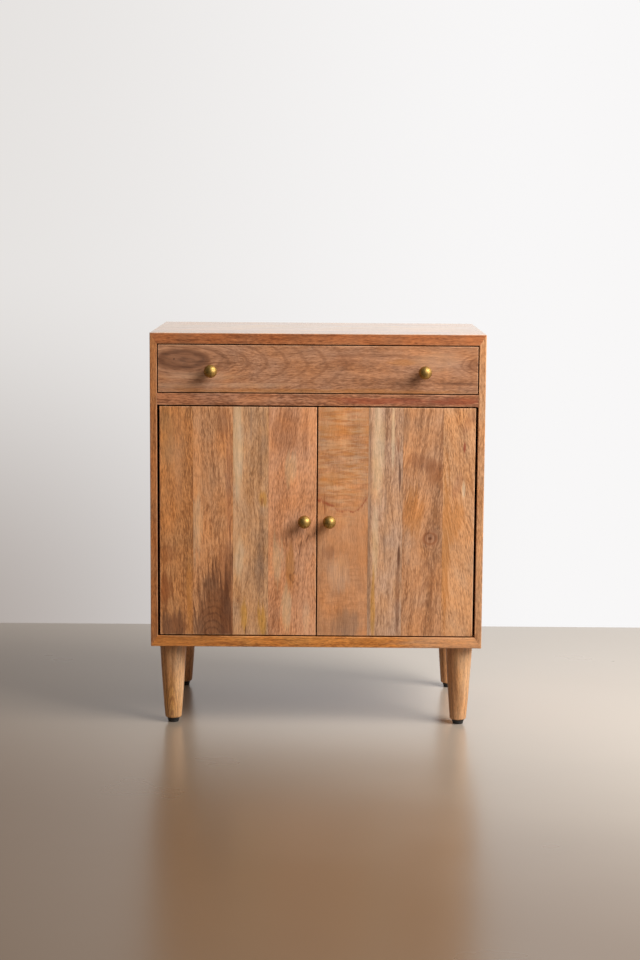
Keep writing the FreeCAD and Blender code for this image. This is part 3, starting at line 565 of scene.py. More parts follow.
@dataclass(frozen=True)
class Flame(OvalMark):
    """Nested arcs where a board cuts through the growth rings at a slant."""

    slope: float = 0.12
    spacing: float = 5.0 * MM
    wander: float = 9.0 * MM
    thin: float = 0.0
    core: float = 0.35

    def paint(self, space: "GrainSpace", colour: Signal) -> Signal:
        """Lay the arcs on a colour, so that they fade towards the oval's rim.

        Args:
            space: The panel's grain.
            colour: The colour under the arcs.

        Returns:
            The new colour.
        """
        sketch = space.sketch
        width, height = self.size(space.box)
        turned = sketch.local(space.place, self.centre(space.box), self.tilt, (1.0, 1.0, 1.0))
        near, _, far = sketch.split(turned)
        reach = height if abs(self.tilt) < 45.0 else width
        depth = (far + reach) * self.slope
        radius = sketch.length(sketch.combine(near, depth, 0.0))
        radius = space.streak * self.wander + radius + space.cloud * (self.wander / 2)
        ring = sketch.math("SINE", radius * (TURN / self.spacing))
        band = sketch.between(ring, self.thin, 1.0, 0.0, self.strength)
        return sketch.mix(band * self.fade(space, self.core), colour, self.tone.rgba)


@dataclass(frozen=True)
class Ripple(OvalMark):
    """Ragged level bands across a board, where its fibres curl."""

    length: float = 90.0 * MM
    height: float = 16.0 * MM
    core: float = 0.5

    def paint(self, space: "GrainSpace", colour: Signal) -> Signal:
        """Lay the bands on a colour, so that they fade towards the oval's rim.

        Args:
            space: The panel's grain.
            colour: The colour under the bands.

        Returns:
            The new colour.
        """
        sketch = space.sketch
        per_metre = (1.0 / self.length, 1.0 / self.length, 1.0 / self.height)
        curled = sketch.noise(space.place, per_metre, detail=3.0, roughness=0.65)
        band = sketch.between(curled, *RIPPLE_BANDS, 0.0, self.strength)
        return sketch.mix(band * self.fade(space, self.core), colour, self.tone.rgba)


@dataclass(frozen=True)
class Knot(Mark):
    """A knot with rings about it and grain that flows round it."""

    radius: float
    tone: Tone
    strength: float
    stretch: float = 1.5
    tilt: float = 0.0
    rate: float = 5.0
    core: Tone = Tone.INK
    core_size: float = 0.75

    def local(self, sketch: ShaderSketch, place: Signal, box: Box, radius: float) -> Signal:
        """Coordinates about the knot, one at the given radius."""
        return sketch.local(place, self.centre(box), self.tilt, (radius, 1.0, radius * self.stretch))

    def bend(self, sketch: ShaderSketch, place: Signal, box: Box) -> Signal:
        """Squeeze the grain about the knot, so that it flows round it.

        Args:
            sketch: The material.
            place: Coordinates of the grain.
            box: The panel's box.

        Returns:
            The squeezed coordinates.
        """
        reach = 4.0 * self.radius
        distance = sketch.length(self.local(sketch, place, box, reach))
        pull = sketch.between(distance, *KNOT_PULL)
        offset = sketch.vector("SUBTRACT", place, self.centre(box))
        shove = sketch.vector("MULTIPLY", offset, sketch.combine(pull, 0.0, pull))
        return sketch.vector("ADD", place, shove)

    def paint(self, space: "GrainSpace", colour: Signal) -> Signal:
        """Lay the knot's rings and core on a colour.

        Args:
            space: The panel's grain.
            colour: The colour under the knot.

        Returns:
            The new colour.
        """
        sketch = space.sketch
        local = self.local(sketch, space.place, space.box, self.radius)
        wobble = 0.6
        distance = space.cloud * wobble + sketch.length(local) - wobble / 2
        rings = sketch.between(sketch.math("SINE", distance * self.rate), *KNOT_RINGS)
        fade = sketch.between(distance, *KNOT_FADE, self.strength, 0.0)
        ringed = sketch.mix(rings * fade, colour, self.tone.rgba)
        core = sketch.between(distance, 0.3 * self.core_size, self.core_size, self.strength, 0.0)
        return sketch.mix(core, ringed, self.core.rgba)


@dataclass(frozen=True)
class Board:
    """One board of a panel: its share of the panel's width, its tones and its marks."""

    tone: Tone
    share: float = 1.0
    lean: float = 0.0
    curl: float = 0.03
    contrast: float = 1.0
    fine: float = 1.0
    pores: float = 1.0
    marks: tuple[Mark, ...] = ()

    def colour(self, space: "GrainSpace") -> Signal:
        """The board's colour, from its streaks, veins and marks.

        Args:
            space: The panel's grain.

        Returns:
            The colour.
        """
        coarse = space.streak * STREAK_SHARE + space.vein * VEIN_SHARE - (STREAK_SHARE + VEIN_SHARE) / 2
        detail = space.fibre + space.tick - 1.0
        level = coarse * self.contrast + detail * (FINE_SHARE * self.fine) + 0.5
        shades = ((0.1, self.tone.shaded(DARKEST_SHADE)), (0.5, self.tone.rgba),
                  (0.9, self.tone.shaded(LIGHTEST_SHADE)))
        colour = space.sketch.ramp(level, shades)
        for mark in self.marks:
            colour = mark.paint(space, colour)
        return colour


@dataclass(frozen=True)
class Wood:
    """A wooden panel's finish: its boards, which way they run and how open their pores are."""

    boards: tuple[Board, ...]
    grain: Grain
    seed: float = 0.0
    pores: float = 0.26
    wander: float = 46.0 * MM
    ring_spacing: float = 9.0 * MM
    ring_strength: float = 0.07
    sheen_roughness: float = 0.44
    # Strength of the pale edge rim: partly wear, partly painted highlight where the eased edges catch the
    # light.
    edge_wear_and_highlight: float = 0.30
    gloss: float = 0.45
    wax: float = 0.0

    def seams(self, box: Box) -> list[float]:
        """Where the boards of a panel meet, along the axis across the grain.

        Args:
            box: The panel's box.

        Returns:
            The places in order.
        """
        axis = self.grain.value[0]
        low, high = box[0][axis], box[1][axis]
        places, reached = [], 0.0
        for board in self.boards[:-1]:
            reached += board.share
            places.append(low + reached * (high - low))
        return places

    def material(self, name: str, box: Box) -> bpy.types.Material:
        """The finish as a material for one panel.

        Args:
            name: Name of the material.
            box: The panel's box.

        Returns:
            The material.
        """
        sketch = ShaderSketch(name)
        space = GrainSpace(sketch, self, box)
        colour = self.boards[0].colour(space)
        for step, board in zip(space.steps, self.boards[1:]):
            colour = sketch.mix(step, colour, board.colour(space))
        wave = sketch.math("SINE", space.rings)
        ring = sketch.between(wave, *DARK_RINGS, 1.0, 1.0 - self.ring_strength)
        curl = (space.curl - 0.5) * space.pick([board.curl * CURL_SHARE for board in self.boards])
        colour = sketch.brighten(colour, (curl + ring) * space.joints)
        tint = sketch.ramp(space.cloud, ((0.3, WARM_TINT), (0.7, COOL_TINT)))
        colour = sketch.vector("MULTIPLY", colour, tint)
        open_pores = space.pores * space.pick([self.pores * board.pores for board in self.boards])
        open_pores = open_pores * sketch.between(space.streak, *PORE_STREAKS)
        colour = sketch.brighten(colour, 1.0 - open_pores)
        # Paler rim along the edges: partly wear, partly a painted highlight where the eased edges catch the
        # light.
        from_edge = edge_distance(sketch, space.place, box)
        worn_and_lit_edge = sketch.between(from_edge, PALE_EDGE_START, PALE_EDGE_REACH, self.edge_wear_and_highlight, 0.0)
        worn_and_lit_edge = worn_and_lit_edge * sketch.between(space.vein, *PALE_EDGE_SPOTS)
        colour = sketch.mix(worn_and_lit_edge, colour, Tone.PALE.rgba)
        roughness = space.vein * VEIN_GLOSS + (self.sheen_roughness - VEIN_GLOSS / 2)
        roughness = space.pores * PORE_GLOSS + roughness
        height = space.fibre * FIBRE_HEIGHT - space.pores * PORE_HEIGHT + space.joints
        return sketch.finish(colour, roughness, height, WOOD_BUMP, WOOD_BUMP_DEPTH, Coat_IOR=WAX_IOR,
                             Specular_IOR_Level=self.gloss, Coat_Weight=self.wax,
                             Coat_Roughness=WAX_ROUGHNESS)


class GrainSpace:
    """The grain of one panel, as signals that all its boards share."""

    def __init__(self, sketch: ShaderSketch, wood: Wood, box: Box) -> None:
        """Work out the grain.

        Args:
            sketch: The material.
            wood: The finish.
            box: The panel's box.
        """
        self.sketch = sketch
        self.box = box
        self.place = sketch.place()
        flowing = self.place
        for board in wood.boards:
            for mark in board.marks:
                flowing = mark.bend(sketch, flowing, box)
        across_axis, along_axis, through_axis = wood.grain.value
        straight = sketch.split(self.place)[across_axis]
        seams = wood.seams(box)
        self.steps = [sketch.math("GREATER_THAN", straight, seam) for seam in seams]
        self.joints = self.joint_lines(straight, seams)
        parts = sketch.split(flowing)
        along = parts[along_axis]
        middle = (box[0][along_axis] + box[1][along_axis]) / 2
        lean = self.pick([math.tan(math.radians(board.lean)) for board in wood.boards])
        across = (along - middle) * lean + parts[across_axis]
        shift = self.pick([wood.seed + BOARD_SHIFT * number for number in range(len(wood.boards))])
        through = parts[through_axis] + shift
        raw = sketch.combine(across, along, through)
        self.cloud = CLOUD.noise(sketch, raw)
        self.curl = CURL.noise(sketch, raw)
        across = (DRIFT.noise(sketch, raw) - 0.5) * wood.wander + across
        grain = sketch.combine(across, along, through)
        self.streak = STREAK.noise(sketch, grain)
        self.vein = VEIN.noise(sketch, grain)
        self.fibre = FIBRE.noise(sketch, grain)
        self.tick = TICK.noise(sketch, grain)
        self.pores = sketch.between(PORE.noise(sketch, grain), *PORE_SPOTS)
        self.texture = self.vein * STAIN_VEIN + self.fibre * STAIN_FIBRE + STAIN_BASE
        pith = sketch.combine(across - PITH_ACROSS, through + PITH_BEHIND, 0.0)
        radius = along * RING_SLANT + sketch.length(pith) + self.streak * RING_WANDER
        self.rings = radius * (TURN / wood.ring_spacing)

    def pick(self, values: Sequence[float]) -> Value:
        """A number that differs from board to board.

        Args:
            values: The number of each board.

        Returns:
            The number at the point that is shaded, or the plain number of a single board.
        """
        picked: Value = values[0]
        for step, before, after in zip(self.steps, values, values[1:]):
            picked = step * (after - before) + picked
        return picked

    def joint_lines(self, straight: Signal, seams: Sequence[float]) -> Value:
        """The thin glue lines between the boards.

        Args:
            straight: The place across the panel.
            seams: Where the boards meet.

        Returns:
            One on the boards, and less on the lines.
        """
        level: Value = 1.0
        for seam in seams:
            distance = self.sketch.math("ABSOLUTE", straight - seam)
            level = self.sketch.between(distance, GLUE_LINE, GLUE_REACH, GLUE_DARKNESS, 1.0) * level
        return level


@dataclass(frozen=True)
class Metal:
    """A metal finish with fine scratches and, where it is old, patches of tarnish."""

    base: Rgb
    tarnish: Rgb
    roughness: float

    def material(self, name: str) -> bpy.types.Material:
        """The finish as a material.

        Args:
            name: Name of the material.

        Returns:
            The material.
        """
        sketch = ShaderSketch(name)
        place = sketch.place()
        scratch = SCRATCH.noise(sketch, place)
        dulled = sketch.between(TARNISH.noise(sketch, place), *TARNISH_SPOTS)
        colour = sketch.mix(dulled, (*self.base, 1.0), (*self.tarnish, 1.0))
        roughness = dulled * TARNISH_DULLS + scratch * SCRATCH_DULLS + self.roughness
        return sketch.finish(colour, roughness, scratch, bump=0.08, depth=0.1 * MM, Metallic=1.0)


@dataclass(frozen=True)
class Moulding:
    """A moulded or pressed matt finish with a fine grain and scuffs."""

    base: Rgb
    scuff: Rgb
    roughness: float
    grain: float = 1400.0

    def material(self, name: str) -> bpy.types.Material:
        """The finish as a material.

        Args:
            name: Name of the material.

        Returns:
            The material.
        """
        sketch = ShaderSketch(name)
        place = sketch.place()
        grain = Layer(self.grain, self.grain).noise(sketch, place)
        scuffs = sketch.noise(place, SCUFF_CELLS, detail=4.0, roughness=0.7)
        scuffed = sketch.between(scuffs, *SCUFF_SPOTS)
        colour = sketch.mix(scuffed, (*self.base, 1.0), (*self.scuff, 1.0))
        roughness = scuffed * SCUFF_DULLS + self.roughness
        return sketch.finish(colour, roughness, grain, bump=0.25, depth=0.1 * MM)


LEFT_DOOR_WOOD = Wood(
    grain=Grain.UPRIGHT,
    seed=1.7,
    edge_wear_and_highlight=0.60,
    boards=(
        Board(Tone.BROWN, share=0.214, lean=3.0, fine=1.4, marks=(
            Patch(0.050, 0.12, 0.055, 0.16, Tone.OLIVE, 0.35),
            Patch(0.100, 0.16, 0.090, 0.18, Tone.STRAW, 0.35),
            Patch(0.190, 0.82, 0.024, 0.24, Tone.AMBER, 0.75),
            Patch(0.120, 0.30, 0.040, 0.20, Tone.HONEY, 0.35),
            Patch(0.060, 0.64, 0.060, 0.06, Tone.RUST, 0.45),
            Patch(0.040, 0.80, 0.050, 0.10, Tone.RUST, 0.75),
            Patch(0.090, 0.97, 0.110, 0.10, Tone.WALNUT, 0.80),
        )),
        Board(Tone.TAN, share=0.254, lean=3.0, fine=1.3, marks=(
            Patch(0.240, 0.50, 0.050, 0.20, Tone.CREAM, 0.40, ragged=2.2),
            Patch(0.300, 0.34, 0.070, 0.09, Tone.STRAW, 0.40),
            Patch(0.440, 0.36, 0.028, 0.34, Tone.RUSSET, 0.50),
            Patch(0.410, 0.06, 0.050, 0.10, Tone.CHESTNUT, 0.50),
            Patch(0.425, 0.68, 0.070, 0.13, Tone.CHESTNUT, 0.60),
            Patch(0.440, 0.98, 0.065, 0.42, Tone.PLUM, 0.60, ragged=1.8),
            Patch(0.345, 1.30, 0.165, 0.60, Tone.PLUM, 0.72, ragged=1.0, soft=0.20),
            Flame(0.335, 0.95, 0.12, 0.14, Tone.INK, 0.34, slope=0.45, spacing=7.0 * MM, thin=0.2),
        )),
        Board(Tone.GREIGE, share=0.226, contrast=1.2, marks=(
            Patch(0.500, 0.16, 0.040, 0.27, Tone.CREAM, 0.80),
            Patch(0.583, 0.07, 0.010, 0.10, Tone.STONE, 0.50),
            Patch(0.665, 0.14, 0.030, 0.20, Tone.STONE, 0.45),
            Patch(0.660, 0.400, 0.034, 0.050, Tone.OCHRE, 0.60),
            Patch(0.655, 0.410, 0.014, 0.025, Tone.RUST, 0.60),
            Patch(0.655, 0.48, 0.026, 0.07, Tone.STONE, 0.45),
            Patch(0.640, 0.70, 0.034, 0.14, Tone.STONE, 0.50),
            Patch(0.510, 0.66, 0.040, 0.12, Tone.CREAM, 0.60),
            Patch(0.545, 0.92, 0.034, 0.08, Tone.OCHRE, 0.75, ragged=2.2),
            Patch(0.655, 0.94, 0.040, 0.10, Tone.OCHRE, 0.75, ragged=2.2),
            Patch(0.552, 0.98, 0.006, 0.03, Tone.UMBER, 0.85),
            Knot(0.500, 0.846, 2.4 * MM, Tone.CHESTNUT, 0.80, stretch=1.3),
        )),
        Board(Tone.ROSE, share=0.306, lean=-4.0, fine=1.1, pores=0.6, marks=(
            Patch(0.800, 0.10, 0.130, 0.13, Tone.CHESTNUT, 0.42),
            Patch(0.930, 0.13, 0.020, 0.16, Tone.CHESTNUT, 0.30),
            Patch(0.840, 0.27, 0.050, 0.09, Tone.CREAM, 0.45, ragged=2.0),
            # Painted shadow of the knob: a darker chestnut stain to the left of and just below the knob,
            # where its shadow falls.
            Patch(0.770, 0.56, 0.070, 0.03, Tone.CHESTNUT, 0.20),
            Patch(0.755, 0.66, 0.050, 0.13, Tone.CREAM, 0.50, ragged=2.0),
            Patch(0.835, 0.70, 0.036, 0.12, Tone.AMBER, 0.70),
            Arc(1.042, 0.670, 0.215, 0.122, Tone.WALNUT, 0.90, tilt=132.0, thickness=0.07),
            Patch(0.812, 0.88, 0.040, 0.12, Tone.CREAM, 0.60, ragged=2.0),
            Patch(0.750, 0.96, 0.040, 0.06, Tone.CHESTNUT, 0.35),
            Patch(0.940, 0.92, 0.030, 0.10, Tone.CREAM, 0.30),
        )),
    ),
)

RIGHT_DOOR_WOOD = Wood(
    grain=Grain.UPRIGHT,
    seed=4.4,
    edge_wear_and_highlight=0.60,
    boards=(
        Board(Tone.HONEY, share=0.322, contrast=0.5, fine=0.5, pores=0.4, marks=(
            Ripple(0.160, 0.20, 0.26, 0.34, Tone.AMBER, 0.75, length=110.0 * MM, height=19.0 * MM),
            Ripple(0.160, 0.22, 0.26, 0.34, Tone.CHESTNUT, 0.40, length=36.0 * MM, height=7.0 * MM),
            Ripple(0.160, 0.20, 0.26, 0.36, Tone.CREAM, 0.32, length=48.0 * MM, height=9.0 * MM),
            Ripple(0.160, 0.85, 0.26, 0.30, Tone.CHESTNUT, 0.24, length=30.0 * MM, height=8.0 * MM),
            Patch(0.110, 0.10, 0.110, 0.04, Tone.AMBER, 0.45),
            Patch(0.080, 0.31, 0.080, 0.04, Tone.AMBER, 0.45),
            Arc(0.190, 0.310, 0.200, 0.130, Tone.CHESTNUT, 0.40, tilt=16.0, thickness=0.20),
            Arc(0.190, 0.318, 0.200, 0.130, Tone.BRICK, 0.85, tilt=16.0, thickness=0.07),
            Patch(0.045, 0.42, 0.006, 0.07, Tone.RUST, 0.60),
            Patch(0.070, 0.63, 0.060, 0.04, Tone.CHESTNUT, 0.40),
            Patch(0.140, 0.72, 0.090, 0.10, Tone.PALE, 0.65),
            Patch(0.190, 0.95, 0.130, 0.08, Tone.STONE, 0.55),
        )),
        Board(Tone.ASH, share=0.219, contrast=1.2, marks=(
            Patch(0.330, 0.50, 0.012, 0.90, Tone.STONE, 0.65),
            Patch(0.385, 0.18, 0.045, 0.30, Tone.CREAM, 0.75),
            Patch(0.478, 0.11, 0.014, 0.20, Tone.CREAM, 0.85),
            Patch(0.433, 0.52, 0.014, 0.26, Tone.STONE, 0.50),
            Patch(0.370, 0.58, 0.026, 0.22, Tone.CREAM, 0.65),
            Patch(0.522, 0.30, 0.011, 0.09, Tone.UMBER, 0.80),
            Patch(0.510, 0.16, 0.010, 0.05, Tone.RUSSET, 0.60),
            Patch(0.520, 0.645, 0.012, 0.06, Tone.UMBER, 0.85),
            Patch(0.514, 0.82, 0.016, 0.26, Tone.WALNUT, 0.60),
            Patch(0.360, 0.87, 0.018, 0.20, Tone.OCHRE, 0.65, ragged=1.8),
        )),
        Board(Tone.CARAMEL, share=0.256, lean=-5.0, marks=(
            Patch(0.560, 0.09, 0.040, 0.10, Tone.STONE, 0.40),
            Patch(0.660, 0.235, 0.140, 0.045, Tone.CHESTNUT, 0.55, tilt=16.0),
            Patch(0.735, 0.275, 0.060, 0.07, Tone.CHESTNUT, 0.60),
            Patch(0.610, 0.46, 0.080, 0.14, Tone.AMBER, 0.50, ragged=1.8),
            Patch(0.720, 0.568, 0.070, 0.050, Tone.RUSSET, 0.45, ragged=0.6),
            Knot(0.720, 0.568, 10.0 * MM, Tone.RUST, 0.85, stretch=0.9, core=Tone.PLUM),
            Flame(0.690, 0.80, 0.12, 0.24, Tone.CHESTNUT, 0.35, slope=0.16, spacing=7.0 * MM),
            Patch(0.580, 0.60, 0.030, 0.10, Tone.PALE, 0.45),
        )),
        Board(Tone.STRAW, share=0.203, lean=9.0, contrast=1.3, fine=1.2, marks=(
            Patch(0.820, 0.62, 0.036, 0.42, Tone.AMBER, 0.65, ragged=2.0),
            Patch(0.932, 0.17, 0.010, 0.03, Tone.BRICK, 0.90, ragged=0.5),
            Patch(0.930, 0.355, 0.014, 0.05, Tone.CREAM, 0.80, ragged=0.7),
            Patch(0.890, 0.34, 0.034, 0.07, Tone.RUSSET, 0.45, tilt=12.0),
            Patch(0.960, 0.06, 0.040, 0.07, Tone.RUSSET, 0.40, tilt=20.0),
            Patch(0.880, 0.50, 0.060, 0.13, Tone.AMBER, 0.55, tilt=14.0),
        )),
    ),
)

DRAWER_WOOD = Wood(
    grain=Grain.LEVEL,
    seed=8.9,
    edge_wear_and_highlight=0.60,
    ring_strength=0.04,
    boards=(
        Board(Tone.COCOA, contrast=0.8, fine=0.9, pores=0.9, marks=(
            Flame(0.375, 0.36, 0.38, 1.25, Tone.WALNUT, 0.38, tilt=90.0, slope=0.25, spacing=11.0 * MM,
                  wander=8.0 * MM, thin=0.60),
            Patch(0.500, 0.97, 0.60, 0.08, Tone.AMBER, 0.45),
            Patch(0.130, 0.66, 0.170, 0.09, Tone.PALE, 0.50, ragged=1.8),
            Patch(0.290, 0.84, 0.200, 0.07, Tone.PALE, 0.40, ragged=1.8),
            Patch(0.050, 0.86, 0.080, 0.08, Tone.ASH, 0.45),
            Patch(0.074, 0.31, 0.105, 0.28, Tone.WALNUT, 0.60, ragged=0.3, soft=0.42),
            Knot(0.078, 0.31, 54.0 * MM, Tone.UMBER, 0.50, stretch=0.38, rate=8.0, core=Tone.PLUM,
                 core_size=0.06),
            Patch(0.051, 0.30, 0.004, 0.02, Tone.INK, 0.90, ragged=0.2),
            Patch(0.767, 0.35, 0.070, 0.10, Tone.AMBER, 0.45),
            Patch(0.925, 0.78, 0.110, 0.03, Tone.UMBER, 0.60),
            Flame(1.000, 0.39, 0.085, 0.40, Tone.WALNUT, 0.60, tilt=-90.0, slope=0.30, spacing=6.0 * MM),
            Patch(0.580, 0.30, 0.060, 0.20, Tone.CHESTNUT, 0.40),
            Patch(0.870, 0.32, 0.090, 0.26, Tone.ASH, 0.55),
            Patch(0.990, 0.42, 0.040, 0.18, Tone.WALNUT, 0.50, ragged=0.5),
            Patch(0.640, 0.20, 0.120, 0.06, Tone.WALNUT, 0.35, ragged=1.8),
        )),
    ),
)

RAIL_WOOD = Wood(
    grain=Grain.LEVEL,
    seed=12.3,
    boards=(Board(Tone.RUSSET, contrast=1.6, fine=1.8, marks=(
        Patch(0.70, 0.55, 0.20, 0.40, Tone.BRICK, 0.55),
        Patch(0.92, 0.55, 0.10, 0.40, Tone.BRICK, 0.50),
        Patch(0.30, 0.50, 0.10, 0.50, Tone.ROSE, 0.25),
    )),),
)

# Painted sheen: a pale milky stain over the top face of each top board, in place of the bright sheen that
# the top shows when seen at a low angle. The front edge keeps its own colour.
PAINTED_TOP_SHEEN = (Patch(0.50, 0.0, 2.00, 0.05, Tone.MILK, 0.52, ragged=0.0, soft=0.30),)

TOP_WOOD = Wood(
    grain=Grain.FLAT,
    seed=15.1,
    sheen_roughness=0.54,
    gloss=0.30,
    wax=0.8,
    boards=(
        Board(Tone.SIENNA, share=0.22, contrast=1.2, fine=1.1, marks=PAINTED_TOP_SHEEN),
        Board(Tone.TAN, share=0.27, marks=PAINTED_TOP_SHEEN),
        Board(Tone.GREIGE, share=0.24, marks=PAINTED_TOP_SHEEN),
        Board(Tone.HONEY, share=0.27, marks=PAINTED_TOP_SHEEN),
    ),
)

BOTTOM_WOOD = Wood(
    grain=Grain.FLAT,
    seed=19.6,
    boards=(
        Board(Tone.GINGER, share=0.30, contrast=1.2, fine=1.0, marks=(
            Patch(0.02, 0.50, 0.30, 2.00, Tone.RUST, 0.35),
            Patch(0.92, 0.50, 0.20, 2.00, Tone.PALE, 0.50),
        )),
        Board(Tone.TAN, share=0.34),
        Board(Tone.HONEY, share=0.36),
    ),
)

SHELF_WOOD = Wood(
    grain=Grain.FLAT,
    seed=23.8,
    boards=(
        Board(Tone.TAN, share=0.28),
        Board(Tone.GREIGE, share=0.22),
        Board(Tone.HONEY, share=0.26),
        Board(Tone.BROWN, share=0.24),
    ),
)

LEFT_SIDE_WOOD = Wood(
    grain=Grain.UPRIGHT_SIDE,
    seed=27.2,
    boards=(
        Board(Tone.CINNAMON, share=0.24),
        Board(Tone.TAN, share=0.28, lean=3.0),
        Board(Tone.GREIGE, share=0.22, contrast=1.2),
        Board(Tone.ROSE, share=0.26, lean=-3.0),
    ),
)

RIGHT_SIDE_WOOD = Wood(
    grain=Grain.UPRIGHT_SIDE,
    seed=31.9,
    boards=(
        Board(Tone.STRAW, share=0.26),
        Board(Tone.ROSE, share=0.22, lean=-3.0),
        Board(Tone.BROWN, share=0.28, lean=2.0),
        Board(Tone.ASH, share=0.24, contrast=1.2),
    ),
)

LEG_WOOD = Wood(
    grain=Grain.UPRIGHT,
    wander=20.0 * MM,
    ring_spacing=6.5 * MM,
    ring_strength=0.22,
    edge_wear_and_highlight=0.0,
    boards=(Board(Tone.MALT, curl=0.05, fine=0.6),),
)

LEG_BOARDS = {
    "front_left": Board(Tone.MALT, curl=0.05, fine=0.6, marks=(
        Patch(0.35, 0.25, 0.45, 0.40, Tone.CHESTNUT, 0.20),
        Patch(0.55, 0.78, 0.50, 0.38, Tone.OCHRE, 0.40),
        # Painted light: a paler stain down the leg's right side, the side that faces the lamp.
        Patch(0.78, 0.45, 0.30, 0.70, Tone.CREAM, 0.40),
        Flame(0.48, 0.80, 0.50, 0.40, Tone.CHESTNUT, 0.55, slope=0.12, spacing=4.0 * MM, wander=4.0 * MM),
    )),
    "front_right": Board(Tone.MALT, contrast=0.6, fine=0.4, marks=(
        # Painted light and shade: darker down the leg's left side and paler on its right side, as the lamp
        # lights it from the right.
        Patch(0.20, 0.50, 0.30, 0.90, Tone.CHESTNUT, 0.40),
        Patch(0.75, 0.35, 0.30, 0.50, Tone.CREAM, 0.30),
    )),
}

BOX_WOOD = Wood(
    grain=Grain.LEVEL,
    seed=41.5,
    pores=0.12,
    boards=(Board(Tone.BIRCH, contrast=0.5, fine=0.5, curl=0.02),),
)

PLYWOOD = Wood(
    grain=Grain.LEVEL,
    seed=47.0,
    pores=0.10,
    ring_spacing=22.0 * MM,
    ring_strength=0.08,
    sheen_roughness=0.58,
    boards=(Board(Tone.BIRCH, contrast=0.6, fine=0.5, curl=0.02),),
)

ANTIQUE_BRASS = Metal(base=(0.46, 0.288, 0.085), tarnish=(0.27, 0.162, 0.048), roughness=0.47)
BUSH_BRASS = Metal(base=(0.26, 0.18, 0.08), tarnish=(0.16, 0.11, 0.05), roughness=0.36)
BLACKENED_STEEL = Metal(base=(0.08, 0.075, 0.07), tarnish=(0.05, 0.045, 0.04), roughness=0.40)
ZINC_STEEL = Metal(base=(0.62, 0.63, 0.65), tarnish=(0.50, 0.51, 0.53), roughness=0.32)
BLACK_PLASTIC = Moulding(base=(0.012, 0.012, 0.013), scuff=(0.04, 0.038, 0.036), roughness=0.50)
CATCH_PLASTIC = Moulding(base=(0.16, 0.09, 0.05), scuff=(0.22, 0.14, 0.09), roughness=0.42)
FERRITE = Moulding(base=(0.045, 0.045, 0.05), scuff=(0.09, 0.09, 0.09), roughness=0.55, grain=2600.0)

DRAWER_SIDE_WOOD = replace(BOX_WOOD, grain=Grain.DEEP, seed=43.3)
DRAWER_PLYWOOD = replace(PLYWOOD, grain=Grain.FLAT, seed=51.0)

CARCASS_WOODS = {
    "top_panel": TOP_WOOD,
    "bottom_panel": BOTTOM_WOOD,
    "left_side_panel": LEFT_SIDE_WOOD,
    "right_side_panel": RIGHT_SIDE_WOOD,
    "divider_rail": RAIL_WOOD,
    "shelf": SHELF_WOOD,
    "dust_board": BOX_WOOD,
    "mitre_splines": BOX_WOOD,
    "back_panel": PLYWOOD,
}

DOOR_WOODS = {
    "left_door_panel": LEFT_DOOR_WOOD,
    "right_door_panel": RIGHT_DOOR_WOOD,
}

DRAWER_WOODS = {
    "drawer_front": DRAWER_WOOD,
    "drawer_sub_front": BOX_WOOD,
    "drawer_back": BOX_WOOD,
    "drawer_left_side": DRAWER_SIDE_WOOD,
    "drawer_right_side": DRAWER_SIDE_WOOD,
    "drawer_bottom": DRAWER_PLYWOOD,
}


def dress(material: bpy.types.Material, *nodes: str) -> None:
    """Give CAD nodes a material.

    Args:
        material: The material.
        nodes: Names of the nodes.
    """
    for name in nodes:
        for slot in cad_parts[name].material_slots:
            slot.material = material
        LOG.info("dressed %s", name)


def dress_boards(woods: dict[str, Wood]) -> None:
    """Give CAD boards their wood finishes, each fitted to its own box."""
    for node, wood in woods.items():
        dress(wood.material(f"{node}_wood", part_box(node)), node)


def stand_in(piece: bpy.types.Object, body: str, slot: str, *nodes: str) -> None:
    """Make a piece ride on a body in place of CAD nodes.

    Args:
        piece: The finished piece.
        body: The body that it moves with.
        slot: Not used.
        nodes: The nodes that it stands for.
    """
    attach(piece, body)
    if nodes:
        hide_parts(*nodes)
    LOG.info("built %s on %s, %d faces", piece.name, body, len(piece.data.polygons))


def islands(node: str) -> list[Box]:
    """The boxes of the separate solids in a CAD node, from left to right.

    Args:
        node: Name of the node.

    Returns:
        The lowest and highest corner of each solid.
    """
    shape = bmesh.new()
    shape.from_mesh(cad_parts[node].data)
    bmesh.ops.remove_doubles(shape, verts=shape.verts, dist=WELD)
    waiting = set(shape.verts)
    boxes = []
    while waiting:
        edge_of_search = [waiting.pop()]
        found = []
        while edge_of_search:
            vertex = edge_of_search.pop()
            found.append(vertex.co.copy())
            for edge in vertex.link_edges:
                other = edge.other_vert(vertex)
                if other in waiting:
                    waiting.remove(other)
                    edge_of_search.append(other)
        low = Vector([min(point[axis] for point in found) for axis in range(3)])
        high = Vector([max(point[axis] for point in found) for axis in range(3)])
        boxes.append((low, high))
    shape.free()
    return sorted(boxes, key=lambda box: tuple(round(value, 5) for value in box[0]))


def plain_mesh(name: str, points: Sequence[Sequence[float]], edges: Sequence[tuple[int, int]] = (),
               faces: Sequence[Sequence[int]] = ()) -> bpy.types.Mesh:
    """A mesh from its points, edges and faces.

    Args:
        name: Name of the mesh.
        points: Places of the points.
        edges: Pairs of points by number.
        faces: Rows of points by number.

    Returns:
        The mesh.
    """
    mesh = bpy.data.meshes.new(name)
    mesh.from_pydata(points, edges, faces)
    return mesh


def round_off(corner: tuple[float, float], before: tuple[float, float], after: tuple[float, float],
              radius: float, steps: int = 6) -> Outline:
    """Points of a small round in place of an outline's corner.

    Args:
        corner: The corner.
        before: The outline's point before it.
        after: The outline's point after it.
        radius: How far from the corner the round starts and ends.
        steps: Number of stretches.

    Returns:
        The points in order.
    """
    middle = Vector(corner)
    start = middle + (Vector(before) - middle).normalized() * radius
    end = middle + (Vector(after) - middle).normalized() * radius
    points = []
    for step in range(steps + 1):
        share = step / steps
        point = start * (1 - share) ** 2 + middle * 2 * share * (1 - share) + end * share ** 2
        points.append((point.x, point.y))
    return points


